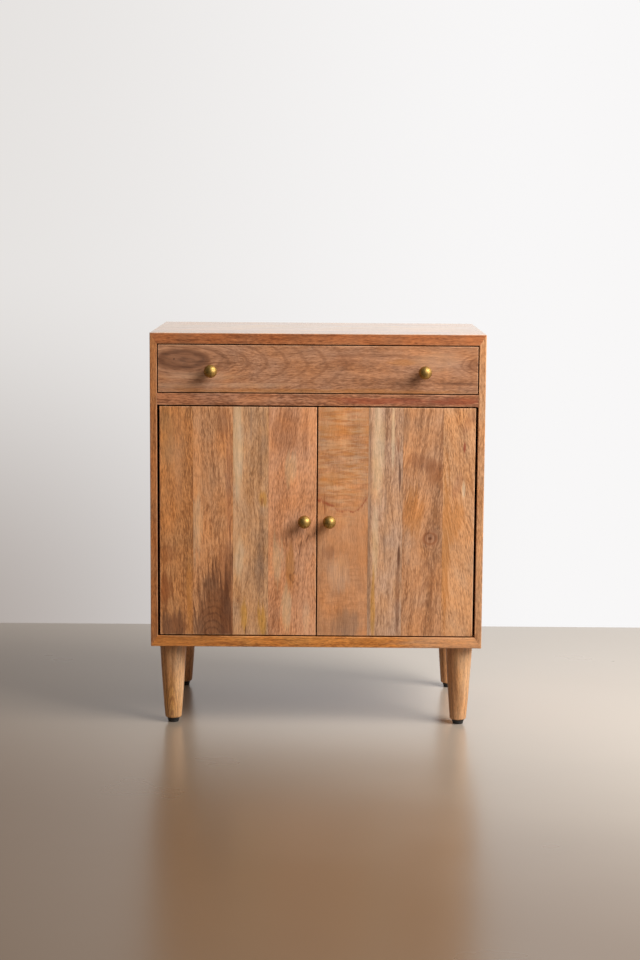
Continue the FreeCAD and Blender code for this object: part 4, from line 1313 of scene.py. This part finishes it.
class GeometrySketch(NodeSketch):
    """A geometry tree with named inputs, which makes plain meshes."""

    def __init__(self, name: str, inputs: dict[str, float | int]) -> None:
        """Start a tree.

        Args:
            name: Name of the tree.
            inputs: Its named inputs with the values they start from.
        """
        super().__init__(bpy.data.node_groups.new(name, "GeometryNodeTree"))
        self.keys: dict[str, str] = {}
        self.open_input("Geometry", "NodeSocketGeometry")
        for label, start in inputs.items():
            kind = "NodeSocketInt" if isinstance(start, int) else "NodeSocketFloat"
            self.open_input(label, kind).default_value = start
        self.open_input("Material", "NodeSocketMaterial")
        self.tree.interface.new_socket("Geometry", in_out="OUTPUT", socket_type="NodeSocketGeometry")
        self.sockets = self.add("NodeGroupInput").outputs

    def open_input(self, label: str, kind: str) -> bpy.types.NodeTreeInterfaceSocket:
        """Add a named input to the tree and keep its identifier.

        Args:
            label: Name of the input.
            kind: Blender's type name of the socket.

        Returns:
            The new socket of the tree's interface.
        """
        socket = self.tree.interface.new_socket(label, in_out="INPUT", socket_type=kind)
        self.keys[label] = socket.identifier
        return socket

    def given(self, label: str) -> Signal:
        """A named input of the tree."""
        return Signal(self, self.sockets[label])

    def join(self, *shapes: Signal) -> Signal:
        """Several geometries as one.

        Args:
            shapes: The geometries.

        Returns:
            The joined geometry.
        """
        node = self.add("GeometryNodeJoinGeometry")
        for shape in shapes:
            self.feed(node.inputs[0], shape)
        return Signal(self, node.outputs[0])

    def close(self, geometry: Signal) -> None:
        """End the tree in plain geometry with its material.

        Args:
            geometry: What the tree has made.
        """
        plain = self.make("GeometryNodeRealizeInstances", {0: geometry})
        painted = self.make("GeometryNodeSetMaterial", {0: plain, "Material": self.given("Material")})
        self.add("NodeGroupOutput", {0: painted})

    def run(self, name: str, seed_mesh: bpy.types.Mesh, material: bpy.types.Material,
            values: dict[str, float | int]) -> bpy.types.Object:
        """A finished piece made by the tree.

        Args:
            name: Name of the piece.
            seed_mesh: The mesh that the tree starts from.
            material: The piece's material.
            values: The tree's named inputs.

        Returns:
            The piece, with a plain mesh and no modifier.
        """
        piece = bpy.data.objects.new(name, seed_mesh)
        bpy.context.scene.collection.objects.link(piece)
        modifier = piece.modifiers.new(self.tree.name, "NODES")
        modifier.node_group = self.tree
        modifier[self.keys["Material"]] = material
        for label, value in values.items():
            modifier[self.keys[label]] = value
        evaluated = piece.evaluated_get(bpy.context.evaluated_depsgraph_get())
        mesh = bpy.data.meshes.new_from_object(evaluated)
        piece.modifiers.clear()
        shape = bmesh.new()
        shape.from_mesh(mesh)
        bmesh.ops.remove_doubles(shape, verts=shape.verts, dist=WELD)
        bmesh.ops.dissolve_degenerate(shape, edges=shape.edges, dist=WELD / 2)
        bmesh.ops.recalc_face_normals(shape, faces=shape.faces)
        shape.to_mesh(mesh)
        shape.free()
        mesh.shade_smooth()
        mesh.set_sharp_from_angle(angle=SHARP_FROM)
        mesh.name = name
        piece.data = mesh
        return piece


class TurningTree(GeometrySketch):
    """Turns an outline of (radius, height) points about an axis, as on a lathe."""

    def __init__(self) -> None:
        """Build the tree."""
        super().__init__("Turning", {"Segments": 64})
        outline, segments = self.given("Geometry"), self.given("Segments")
        count = self.make("GeometryNodeAttributeDomainSize", {0: outline}, "Point Count")
        grid = self.make("GeometryNodeMeshGrid", {"Vertices X": segments + 1.0, "Vertices Y": count})
        index = self.make("GeometryNodeInputIndex")
        row = self.math("MODULO", index, count)
        column = self.math("FLOOR", (index + 0.5) / count)
        angle = column / segments * TURN
        position = self.make("GeometryNodeInputPosition")
        feeds = {0: outline, "Value": position, "Index": row}
        sample = self.make("GeometryNodeSampleIndex", feeds, data_type="FLOAT_VECTOR", domain="POINT")
        radius, _, height = self.split(sample)
        x, y = radius * self.math("COSINE", angle), radius * self.math("SINE", angle)
        around = self.combine(x, y, height)
        self.close(self.make("GeometryNodeSetPosition", {0: grid, "Position": around}))

    def turn(self, name: str, outline: Outline, place: Matrix, material: bpy.types.Material,
             segments: int = 64) -> bpy.types.Object:
        """A turned piece.

        Args:
            name: Name of the piece.
            outline: Points of radius and height, from one end of the axis to the other.
            place: Where the piece goes.
            material: Its material.
            segments: Faces round the axis.

        Returns:
            The piece at the origin, with its place in its mesh.
        """
        points = [(radius, 0.0, height) for radius, height in outline]
        edges = [(number, number + 1) for number in range(len(outline) - 1)]
        mesh = plain_mesh(f"{name}_outline", points, edges)
        piece = self.run(name, mesh, material, {"Segments": segments})
        piece.data.transform(place)
        return piece


class ScrewTree(GeometrySketch):
    """Cross-head screws on points, each turned to its own direction."""

    def __init__(self) -> None:
        """Build the tree."""
        super().__init__("Cross head screws", {
            "Face Radius": 3.0 * MM, "Seat Radius": 3.0 * MM, "Head Height": 2.0 * MM,
            "Shank Radius": 1.5 * MM, "Length": 14.0 * MM, "Recess Length": 3.0 * MM,
            "Recess Width": 0.7 * MM, "Recess Depth": 1.2 * MM,
        })
        head_faces, shank_faces, tip_share = 28, 16, 0.55
        height, length = self.given("Head Height"), self.given("Length")
        head = self.cone(head_faces, self.given("Face Radius"), self.given("Seat Radius"), height, height)
        recess = (self.given("Recess Length"), self.given("Recess Width"))
        depth = self.given("Recess Depth") * 2.0
        cross = self.add("GeometryNodeMeshBoolean", operation="UNION")
        for sides in (recess, recess[::-1]):
            bar = self.make("GeometryNodeMeshCube", {"Size": self.combine(*sides, depth)})
            self.feed(cross.inputs["Mesh 2"], bar)
        feeds = {"Mesh 1": head, "Mesh 2": Signal(self, cross.outputs[0])}
        recessed = self.make("GeometryNodeMeshBoolean", feeds, operation="DIFFERENCE")
        radius = self.given("Shank Radius")
        shank = self.cone(shank_faces, radius, radius * tip_share, length - height, length)
        outward = self.make("GeometryNodeInputNamedAttribute", {"Name": "outward"},
                            data_type="FLOAT_VECTOR")
        turn = self.make("FunctionNodeAlignRotationToVector", {"Vector": outward}, axis="Z")
        self.close(self.make("GeometryNodeInstanceOnPoints", {
            "Points": self.given("Geometry"), "Instance": self.join(recessed, shank), "Rotation": turn}))

    def cone(self, faces: int, top: Signal, bottom: Signal, height: Signal, drop: Signal) -> Signal:
        """An upright cone below the face of the screw's head.

        Args:
            faces: Faces round the axis.
            top: Radius at the upper end.
            bottom: Radius at the lower end.
            height: Height of the cone.
            drop: How far the lower end lies below the head's face.

        Returns:
            The cone.
        """
        cone = self.make("GeometryNodeMeshCone", {
            "Vertices": faces, "Side Segments": 1, "Fill Segments": 1, "Radius Top": top,
            "Radius Bottom": bottom, "Depth": height})
        offset = self.combine(0.0, 0.0, drop * -1.0)
        return self.make("GeometryNodeTransform", {0: cone, "Translation": offset})


class CageTree(GeometrySketch):
    """Ball cages on points: a strip of sheet with a row of balls along Y."""

    def __init__(self) -> None:
        """Build the tree."""
        super().__init__("Ball cages", {
            "Length": 120.0 * MM, "Width": 5.0 * MM, "Sheet": 0.8 * MM,
            "Ball Radius": 1.6 * MM, "Ball Pitch": 22.0 * MM, "Balls": 5,
        })
        size = self.combine(self.given("Width"), self.given("Length"), self.given("Sheet"))
        strip = self.make("GeometryNodeMeshCube", {"Size": size})
        pitch, count = self.given("Ball Pitch"), self.given("Balls")
        first = pitch * (count - 1.0) * -0.5
        row = self.make("GeometryNodeMeshLine", {
            "Count": count, "Start Location": self.combine(0.0, first, 0.0),
            "Offset": self.combine(0.0, pitch, 0.0)}, mode="OFFSET")
        ball = self.make("GeometryNodeMeshIcoSphere", {
            "Radius": self.given("Ball Radius"), "Subdivisions": 3})
        balls = self.make("GeometryNodeInstanceOnPoints", {"Points": row, "Instance": ball})
        self.close(self.make("GeometryNodeInstanceOnPoints", {
            "Points": self.given("Geometry"), "Instance": self.join(strip, balls)}))


class ThreadTree(GeometrySketch):
    """A thread wound about an upright stud."""

    def __init__(self) -> None:
        """Build the tree."""
        super().__init__("Thread", {"Turns": 24.0, "Core Radius": 3.5 * MM, "Ridge": 0.55 * MM,
                                    "Height": 30.0 * MM})
        core = self.given("Core Radius")
        helix = self.make("GeometryNodeCurveSpiral", {
            "Resolution": 24, "Rotations": self.given("Turns"), "Start Radius": core, "End Radius": core,
            "Height": self.given("Height")})
        ridge = self.make("GeometryNodeCurvePrimitiveCircle", {
            "Resolution": 4, "Radius": self.given("Ridge")})
        wound = self.make("GeometryNodeCurveToMesh", {0: helix, 1: ridge, "Fill Caps": True})
        self.close(self.join(self.given("Geometry"), wound))


@dataclass
class Carcass:
    """The mitred box with its rail, dust board, back, shelf and door catches."""

    steel: bpy.types.Material
    steel_parts: tuple[str, ...] = ("shelf_pins", "leg_hanger_bolts", "leg_insert_nuts", "foot_sleeves")
    housings: tuple[str, ...] = ("left_catch_housing", "right_catch_housing")
    magnets: str = "catch_magnets"

    def dress(self) -> None:
        """Finish the boards, the shelf's pins, the fixings of the legs and the catches."""
        dress_boards(CARCASS_WOODS)
        dress(self.steel, *self.steel_parts)
        dress(CATCH_PLASTIC.material("catch_plastic"), *self.housings)
        dress(FERRITE.material("ferrite"), self.magnets)


@dataclass
class KnobSet:
    """Ball knobs on short necks."""

    tree: TurningTree
    brass: bpy.types.Material
    neck_radius: float = 5.5 * MM
    neck_length: float = 3.0 * MM
    rose_radius: float = 7.5 * MM
    rose_thickness: float = 2.0 * MM
    rose_round: float = 0.8 * MM
    ball_steps: int = 28

    def outline(self, ball_radius: float, projection: float) -> Outline:
        """The knob's outline from the door's face to the tip.

        Args:
            ball_radius: Radius of the ball.
            projection: How far the knob stands out.

        Returns:
            Points of radius and distance from the face.
        """
        centre = projection - ball_radius
        rose_edge = (self.rose_radius, self.rose_thickness)
        neck_start = (self.neck_radius, self.rose_thickness)
        neck_end = (self.neck_radius, self.rose_thickness + self.neck_length)
        points = [(0.0, 0.0), (self.rose_radius, 0.0)]
        points += round_off(rose_edge, (self.rose_radius, 0.0), neck_start, self.rose_round)
        points += round_off(neck_start, rose_edge, neck_end, self.rose_round)
        first = -math.acos(self.neck_radius / ball_radius)
        for step in range(self.ball_steps):
            angle = first + (math.pi / 2 - first) * step / self.ball_steps
            points.append((ball_radius * math.cos(angle), centre + ball_radius * math.sin(angle)))
        return points + [(0.0, projection)]

    def build(self, node: str, body: str) -> None:
        """Make one knob in place of its CAD node.

        Args:
            node: Name of the node.
            body: The body that the knob moves with.
        """
        low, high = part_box(node)
        middle = (low + high) / 2
        upright_to_front = Matrix.Rotation(math.radians(90.0), 4, "X")
        place = Matrix.Translation((middle.x, high.y, middle.z)) @ upright_to_front
        outline = self.outline((high.x - low.x) / 2, high.y - low.y)
        piece = self.tree.turn(f"{node}_ball", outline, place, self.brass)
        stand_in(piece, body, "antique_brass", node)


@dataclass
class LegSet:
    """Four turned legs, each cut from its own piece of wood."""

    tree: TurningTree
    foot_round: float = 4.0 * MM
    taper_end: float = 6.0 * MM
    top_round: float = 0.8 * MM
    bottom_radius: float = 19.0 * MM
    swell: float = 0.7 * MM
    sleeve_radius: float = 6.05 * MM
    bore_depth: float = 34.0 * MM
    bolt_radius: float = 4.05 * MM
    bolt_depth: float = 35.0 * MM
    steps: int = 30
    segments: int = 72
    first_seed: float = 35.0
    seed_step: float = 1.37

    def outline(self, top_radius: float, length: float) -> Outline:
        """The leg's outline with its two bores, from the upper bore to the lower one.

        Args:
            top_radius: Radius under the cabinet.
            length: Length of the leg.

        Returns:
            Points of radius and height.
        """
        top, bottom = (top_radius, length), (self.bottom_radius, 0.0)
        points = [(0.0, length - self.bolt_depth), (self.bolt_radius, length - self.bolt_depth),
                  (self.bolt_radius, length)]
        points += round_off(top, points[-1], bottom, self.top_round)
        for step in range(1, self.steps):
            share = step / self.steps
            height = length * (1 - share)
            if self.taper_end < height < length - self.foot_round:
                radius = top_radius + (self.bottom_radius - top_radius) * share
                points.append((radius + self.swell * math.sin(math.pi * share), height))
        lower_bore = (self.sleeve_radius, 0.0)
        points += round_off(bottom, top, lower_bore, self.foot_round)
        return points + [lower_bore, (self.sleeve_radius, self.bore_depth), (0.0, self.bore_depth)]

    def build(self) -> None:
        """Make the legs in place of their CAD nodes."""
        for number, name in enumerate(LEG_NAMES):
            node = f"{name}_leg"
            low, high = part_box(node)
            middle = (low + high) / 2
            boards = (LEG_BOARDS.get(name, LEG_WOOD.boards[0]),)
            wood = replace(LEG_WOOD, seed=self.first_seed + self.seed_step * number, boards=boards)
            material = wood.material(f"{node}_wood", (low, high))
            outline = self.outline((high.x - low.x) / 2 - self.swell / 4, high.z - low.z)
            place = Matrix.Translation((middle.x, middle.y, low.z))
            piece = self.tree.turn(f"{node}_turned", outline, place, material, self.segments)
            stand_in(piece, "cabinet", "leg_wood", node)


@dataclass
class FootSet:
    """Levelling feet: pads with a rim, on threaded studs."""

    tree: TurningTree
    thread: ThreadTree
    plastic: bpy.types.Material
    steel: bpy.types.Material
    seat_gap: float = 0.3 * MM
    base_round: float = 1.2 * MM
    base_taper: float = 2.3 * MM
    rim_height: float = 3.4 * MM
    waist: float = 0.7 * MM
    stud_radius: float = 4.0 * MM
    thread_depth: float = 0.5 * MM
    thread_pitch: float = 1.25 * MM
    pad_segments: int = 48
    stud_segments: int = 32

    def pad_outline(self, radius: float, height: float) -> Outline:
        """The pad's outline from its base to the stud.

        Args:
            radius: Radius of the pad's rim.
            height: Height of the pad.

        Returns:
            Points of radius and height.
        """
        base, rim = (radius - self.base_taper, 0.0), (radius, height)
        ledge = (radius - self.waist, height - self.rim_height)
        points = [(0.0, 0.0)] + round_off(base, (0.0, 0.0), ledge, self.base_round)
        points += [ledge, (radius, height - self.rim_height + self.waist)]
        points += round_off(rim, (radius, 0.0), (0.0, height), self.base_round / 2)
        return points + [(0.0, height)]

    def stud(self, name: str, height: float) -> bpy.types.Object:
        """A threaded stud that stands on the origin.

        Args:
            name: Name of the foot's node.
            height: Height of the stud.

        Returns:
            The stud.
        """
        core = self.stud_radius - self.thread_depth
        outline = [(0.0, 0.0), (core, 0.0), (core, height), (0.0, height)]
        shaft = self.tree.turn(f"{name}_shaft", outline, Matrix.Identity(4), self.steel, self.stud_segments)
        stud = self.thread.run(f"{name}_stud", shaft.data, self.steel, {
            "Turns": height / self.thread_pitch, "Core Radius": core, "Ridge": self.thread_depth,
            "Height": height - self.thread_depth})
        bpy.data.objects.remove(shaft)
        return stud

    def build(self) -> None:
        """Make the feet in place of their CAD nodes."""
        for name in LEG_NAMES:
            node, body = f"{name}_foot", f"{name}_leveller"
            low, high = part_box(node)
            middle = (low + high) / 2
            pad_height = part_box(f"{name}_leg")[0].z - self.seat_gap
            outline = self.pad_outline((high.x - low.x) / 2, pad_height)
            place = Matrix.Translation((middle.x, middle.y, low.z))
            pad = self.tree.turn(f"{node}_pad", outline, place, self.plastic, self.pad_segments)
            stand_in(pad, body, "black_plastic", node)
            stud = self.stud(node, high.z - low.z - pad_height)
            stud.data.transform(Matrix.Translation((middle.x, middle.y, low.z + pad_height)))
            stand_in(stud, body, "zinc_steel")


@dataclass(frozen=True)
class ScrewGroup:
    """Screws of one CAD node: the body they ride on, how they are driven and whether they sit flush."""

    node: str
    body: str
    drive: Drive
    flush: bool = False


SCREW_GROUPS = (
    ScrewGroup("back_panel_screws", "cabinet", Drive.FORWARD),
    ScrewGroup("runner_cabinet_screws", "cabinet", Drive.OUTWARD),
    ScrewGroup("runner_drawer_screws", "drawer", Drive.INWARD),
    ScrewGroup("catch_screws", "cabinet", Drive.UPWARD),
    ScrewGroup("drawer_front_screws", "drawer", Drive.FORWARD),
    ScrewGroup("drawer_knob_screws", "drawer", Drive.FORWARD),
    ScrewGroup("left_door_knob_screw", "left_door", Drive.FORWARD),
    ScrewGroup("left_door_strike_screws", "left_door", Drive.FORWARD, flush=True),
    ScrewGroup("right_door_knob_screw", "right_door", Drive.FORWARD),
    ScrewGroup("right_door_strike_screws", "right_door", Drive.FORWARD, flush=True),
)


@dataclass
class ScrewSets:
    """Every visible screw, with a cross recess in its head."""

    tree: ScrewTree
    steel: bpy.types.Material
    pan_share: float = 0.80
    head_share: float = 0.60
    shank_share: float = 0.48
    recess_share: float = 1.15
    slot_share: float = 0.26
    depth_share: float = 0.60

    def build(self) -> None:
        """Make each group of screws in place of its CAD node."""
        for group in SCREW_GROUPS:
            points, outwards = [], []
            for low, high in islands(group.node):
                drive = group.drive.direction(low.x + high.x)
                size = high - low
                length = abs(size.dot(drive))
                head_radius = min(size[axis] for axis in range(3) if not drive[axis]) / 2
                points.append((low + high) / 2 - drive * length / 2)
                outwards.append(-drive)
            mesh = plain_mesh(f"{group.node}_points", points)
            outward = mesh.attributes.new("outward", "FLOAT_VECTOR", "POINT")
            outward.data.foreach_set("vector", [part for vector in outwards for part in vector])
            height = head_radius * self.head_share
            shank = head_radius * self.shank_share
            piece = self.tree.run(f"{group.node}_crosshead", mesh, self.steel, {
                "Face Radius": head_radius if group.flush else head_radius * self.pan_share,
                "Seat Radius": shank if group.flush else head_radius,
                "Head Height": height, "Shank Radius": shank, "Length": length,
                "Recess Length": head_radius * self.recess_share,
                "Recess Width": head_radius * self.slot_share,
                "Recess Depth": height * self.depth_share})
            stand_in(piece, group.body, "zinc_steel", group.node)


@dataclass
class RunnerPair:
    """Telescopic runners with their ball cages."""

    tree: CageTree
    steel: bpy.types.Material
    sheet: float = 0.8 * MM
    ball_pitch: float = 22.0 * MM
    balls: int = 5

    def build(self) -> None:
        """Dress the channels and make the ball cages in place of their CAD nodes."""
        for side in SIDES:
            for channel in ("fixed", "middle", "drawer"):
                dress(self.steel, f"{side}_runner_{channel}_channel")
        for ring in ("outer", "inner"):
            node = f"{ring}_ball_cages"
            boxes = islands(node)
            size = boxes[0][1] - boxes[0][0]
            mesh = plain_mesh(f"{node}_points", [(low + high) / 2 for low, high in boxes])
            piece = self.tree.run(f"{node}_strips", mesh, self.steel, {
                "Length": size.y, "Width": size.x, "Sheet": self.sheet,
                "Ball Radius": size.z / 2, "Ball Pitch": self.ball_pitch, "Balls": self.balls})
            stand_in(piece, f"{ring}_cages", "zinc_steel", node)


@dataclass
class DoorPair:
    """The two doors with their knobs, pivots and strike plates."""

    knobs: KnobSet
    steel: bpy.types.Material
    bushes: str = "door_pivot_bushes"

    def build(self) -> None:
        """Finish both doors."""
        dress_boards(DOOR_WOODS)
        pins = BLACKENED_STEEL.material("blackened_steel")
        for side in SIDES:
            door = f"{side}_door"
            self.knobs.build(f"{door}_knob", door)
            dress(self.steel, f"{door}_strike_plate")
            dress(pins, f"{door}_pivot_pins")
        dress(BUSH_BRASS.material("bush_brass"), self.bushes)


@dataclass
class Drawer:
    """The drawer with its show front, its box and its knobs."""

    knobs: KnobSet

    def build(self) -> None:
        """Finish the drawer."""
        dress_boards(DRAWER_WOODS)
        for side in SIDES:
            self.knobs.build(f"{side}_drawer_knob", "drawer")


def aim(azimuth: float, height: float) -> Vector:
    """A unit vector by its turn from the front to the right and its height, in radians."""
    flat = math.cos(height)
    return Vector((math.sin(azimuth) * flat, -math.cos(azimuth) * flat, math.sin(height)))


@dataclass
class Studio:
    """The floor, the light and the camera."""

    focal_length: float = 73.47
    sensor: float = 36.0
    camera_place: tuple[float, float, float] = (0.0185, -4.6391, 1.1769)
    pitch: float = 0.1343
    yaw: float = -0.0027
    roll: float = -0.0070
    floor_edge: float = 0.93
    floor_reach: float = 9.0
    floor_cells: tuple[float, float, float] = (1.6, 3.0, 1.0)
    floor_colour: Rgba = (0.45, 0.395, 0.33, 1.0)
    floor_painted_shade: Rgba = (0.145, 0.095, 0.055, 1.0)
    paler_to_right: float = 0.5
    paler_to_back: float = 0.75
    clouded: float = 0.2
    lit_range: tuple[float, float] = (-0.9, 0.6)
    far_range: tuple[float, float] = (1.9, 3.2)
    clouded_sheen: float = 0.1
    floor_roughness: float = 0.24
    floor_coat: float = 0.45
    coat_roughness: float = 0.22
    backdrop_right: Rgba = (0.94, 0.93, 0.93, 1.0)
    backdrop_left: Rgba = (0.77, 0.745, 0.725, 1.0)
    backdrop_shade: Rgba = (0.38, 0.33, 0.30, 1.0)
    shade_to_left: tuple[float, float] = (-0.22, -0.02)
    left_to_right: tuple[float, float] = (-0.24, 0.12)
    room_to_wall: tuple[float, float] = (-0.25, 0.25)
    ambient_colour: Rgba = (1.0, 0.85, 0.70, 1.0)
    ambient: float = 0.30
    room: float = 0.16
    lamp_azimuth: float = 58.0
    lamp_height: float = 37.0
    lamp_distance: float = 3.6
    lamp_size: float = 2.3
    lamp_watts: float = 230.0
    lamp_colour: Rgb = (1.0, 0.99, 0.98)

    def build(self) -> None:
        """Set the whole studio up."""
        self.build_floor()
        self.build_world()
        self.build_lamp()
        self.build_camera()
        bpy.context.scene.view_settings.view_transform = "Standard"

    def build_floor(self) -> None:
        """A pale floor with a soft sheen and painted shade, which ends behind the cabinet."""
        reach, edge = self.floor_reach, self.floor_edge
        corners = [(-reach, -reach, 0.0), (reach, -reach, 0.0), (reach, edge, 0.0), (-reach, edge, 0.0)]
        mesh = plain_mesh("floor", corners, faces=[(0, 1, 2, 3)])
        floor = bpy.data.objects.new("floor", mesh)
        bpy.context.scene.collection.objects.link(floor)
        sketch = ShaderSketch("floor_paint")
        place = sketch.place()
        cloud = sketch.noise(place, self.floor_cells, 4.0)
        rightwards, backwards, _ = sketch.split(place)
        # Painted shade: the floor's colour darkens towards the front and the left, where less of the lamp's
        # light falls, and turns pale again far from the middle.
        lit = rightwards * self.paler_to_right + backwards * self.paler_to_back + cloud * self.clouded
        colour = sketch.mix(sketch.between(lit, *self.lit_range), self.floor_painted_shade, self.floor_colour)
        far = sketch.between(sketch.length(place), *self.far_range)
        colour = sketch.mix(far, colour, self.floor_colour)
        roughness = cloud * self.clouded_sheen + self.floor_roughness
        paint = sketch.finish(colour, roughness, cloud, bump=0.02, depth=0.2 * MM,
                              Coat_Weight=self.floor_coat, Coat_Roughness=self.coat_roughness)
        mesh.materials.append(paint)

    def build_world(self) -> None:
        """Even light all round, seen as a pale backdrop with painted shade on its left, and mirrored as a
        pale wall behind a dim room.
        """
        world = bpy.data.worlds.new("studio")
        world.use_nodes = True
        bpy.context.scene.world = world
        world.node_tree.nodes.clear()
        sketch = NodeSketch(world.node_tree)
        direction = sketch.make("ShaderNodeTexCoord", output="Generated")
        rightwards, backwards, upwards = sketch.split(direction)
        rays = sketch.add("ShaderNodeLightPath").outputs
        by_camera, by_gloss, by_glass = (Signal(sketch, rays[f"Is {kind} Ray"])
                                         for kind in ("Camera", "Glossy", "Transmission"))
        # Painted shade on the backdrop: darker to the left, and darkest low on the left, where the
        # cabinet's shadow would fall on a wall.
        mirrored = upwards * (by_camera * 2.0 - 1.0)
        raised = sketch.between(mirrored, *self.shade_to_left)
        left = sketch.mix(raised, self.backdrop_shade, self.backdrop_left)
        pale = sketch.mix(sketch.between(rightwards, *self.left_to_right), left, self.backdrop_right)
        wall = sketch.between(backwards, *self.room_to_wall, self.room, 1.0)
        level = sketch.math("MAXIMUM", wall, by_camera)
        backdrop = sketch.make("ShaderNodeBackground", {"Color": pale, "Strength": level})
        even = {"Color": self.ambient_colour, "Strength": self.ambient}
        light = sketch.make("ShaderNodeBackground", even)
        seen = sketch.math("MAXIMUM", sketch.math("MAXIMUM", by_camera, by_gloss), by_glass)
        both = sketch.make("ShaderNodeMixShader", {0: seen, 1: light, 2: backdrop})
        sketch.add("ShaderNodeOutputWorld", {"Surface": both})

    def build_lamp(self) -> None:
        """One large soft lamp, to the right of the camera and above it."""
        away = aim(math.radians(self.lamp_azimuth), math.radians(self.lamp_height))
        data = bpy.data.lights.new("window", "AREA")
        data.shape = "SQUARE"
        data.size = self.lamp_size
        data.energy = self.lamp_watts
        data.color = self.lamp_colour
        lamp = bpy.data.objects.new("window", data)
        lamp.location = (CAD_BOX[0] + CAD_BOX[1]) / 2 + away * self.lamp_distance
        lamp.rotation_euler = away.to_track_quat("Z", "Y").to_euler()
        bpy.context.scene.collection.objects.link(lamp)

    def build_camera(self) -> None:
        """The camera, at the angle from which the cabinet is seen."""
        backward = aim(-self.yaw, self.pitch)
        level = Vector((math.cos(self.yaw), -math.sin(self.yaw), 0.0))
        above = backward.cross(level)
        right = math.cos(self.roll) * level - math.sin(self.roll) * above
        up = math.sin(self.roll) * level + math.cos(self.roll) * above
        data = bpy.data.cameras.new("camera")
        data.lens = self.focal_length
        data.sensor_width = self.sensor
        camera = bpy.data.objects.new("camera", data)
        turn = Matrix((right, up, backward)).transposed().to_4x4()
        camera.matrix_world = Matrix.Translation(self.camera_place) @ turn
        bpy.context.scene.collection.objects.link(camera)
        bpy.context.scene.camera = camera


def main() -> None:
    """Build and dress every part of the cabinet in order."""
    logging.basicConfig(level=logging.INFO, format="%(name)s: %(message)s")
    steel = ZINC_STEEL.material("zinc_steel")
    brass = ANTIQUE_BRASS.material("antique_brass")
    plastic = BLACK_PLASTIC.material("black_plastic")
    turning = TurningTree()
    knobs = KnobSet(turning, brass)
    Carcass(steel).dress()
    DoorPair(knobs, steel).build()
    Drawer(knobs).build()
    RunnerPair(CageTree(), steel).build()
    LegSet(turning).build()
    FootSet(turning, ThreadTree(), plastic, steel).build()
    ScrewSets(ScrewTree(), steel).build()
    Studio().build()


if __name__ == "__main__":
    main()
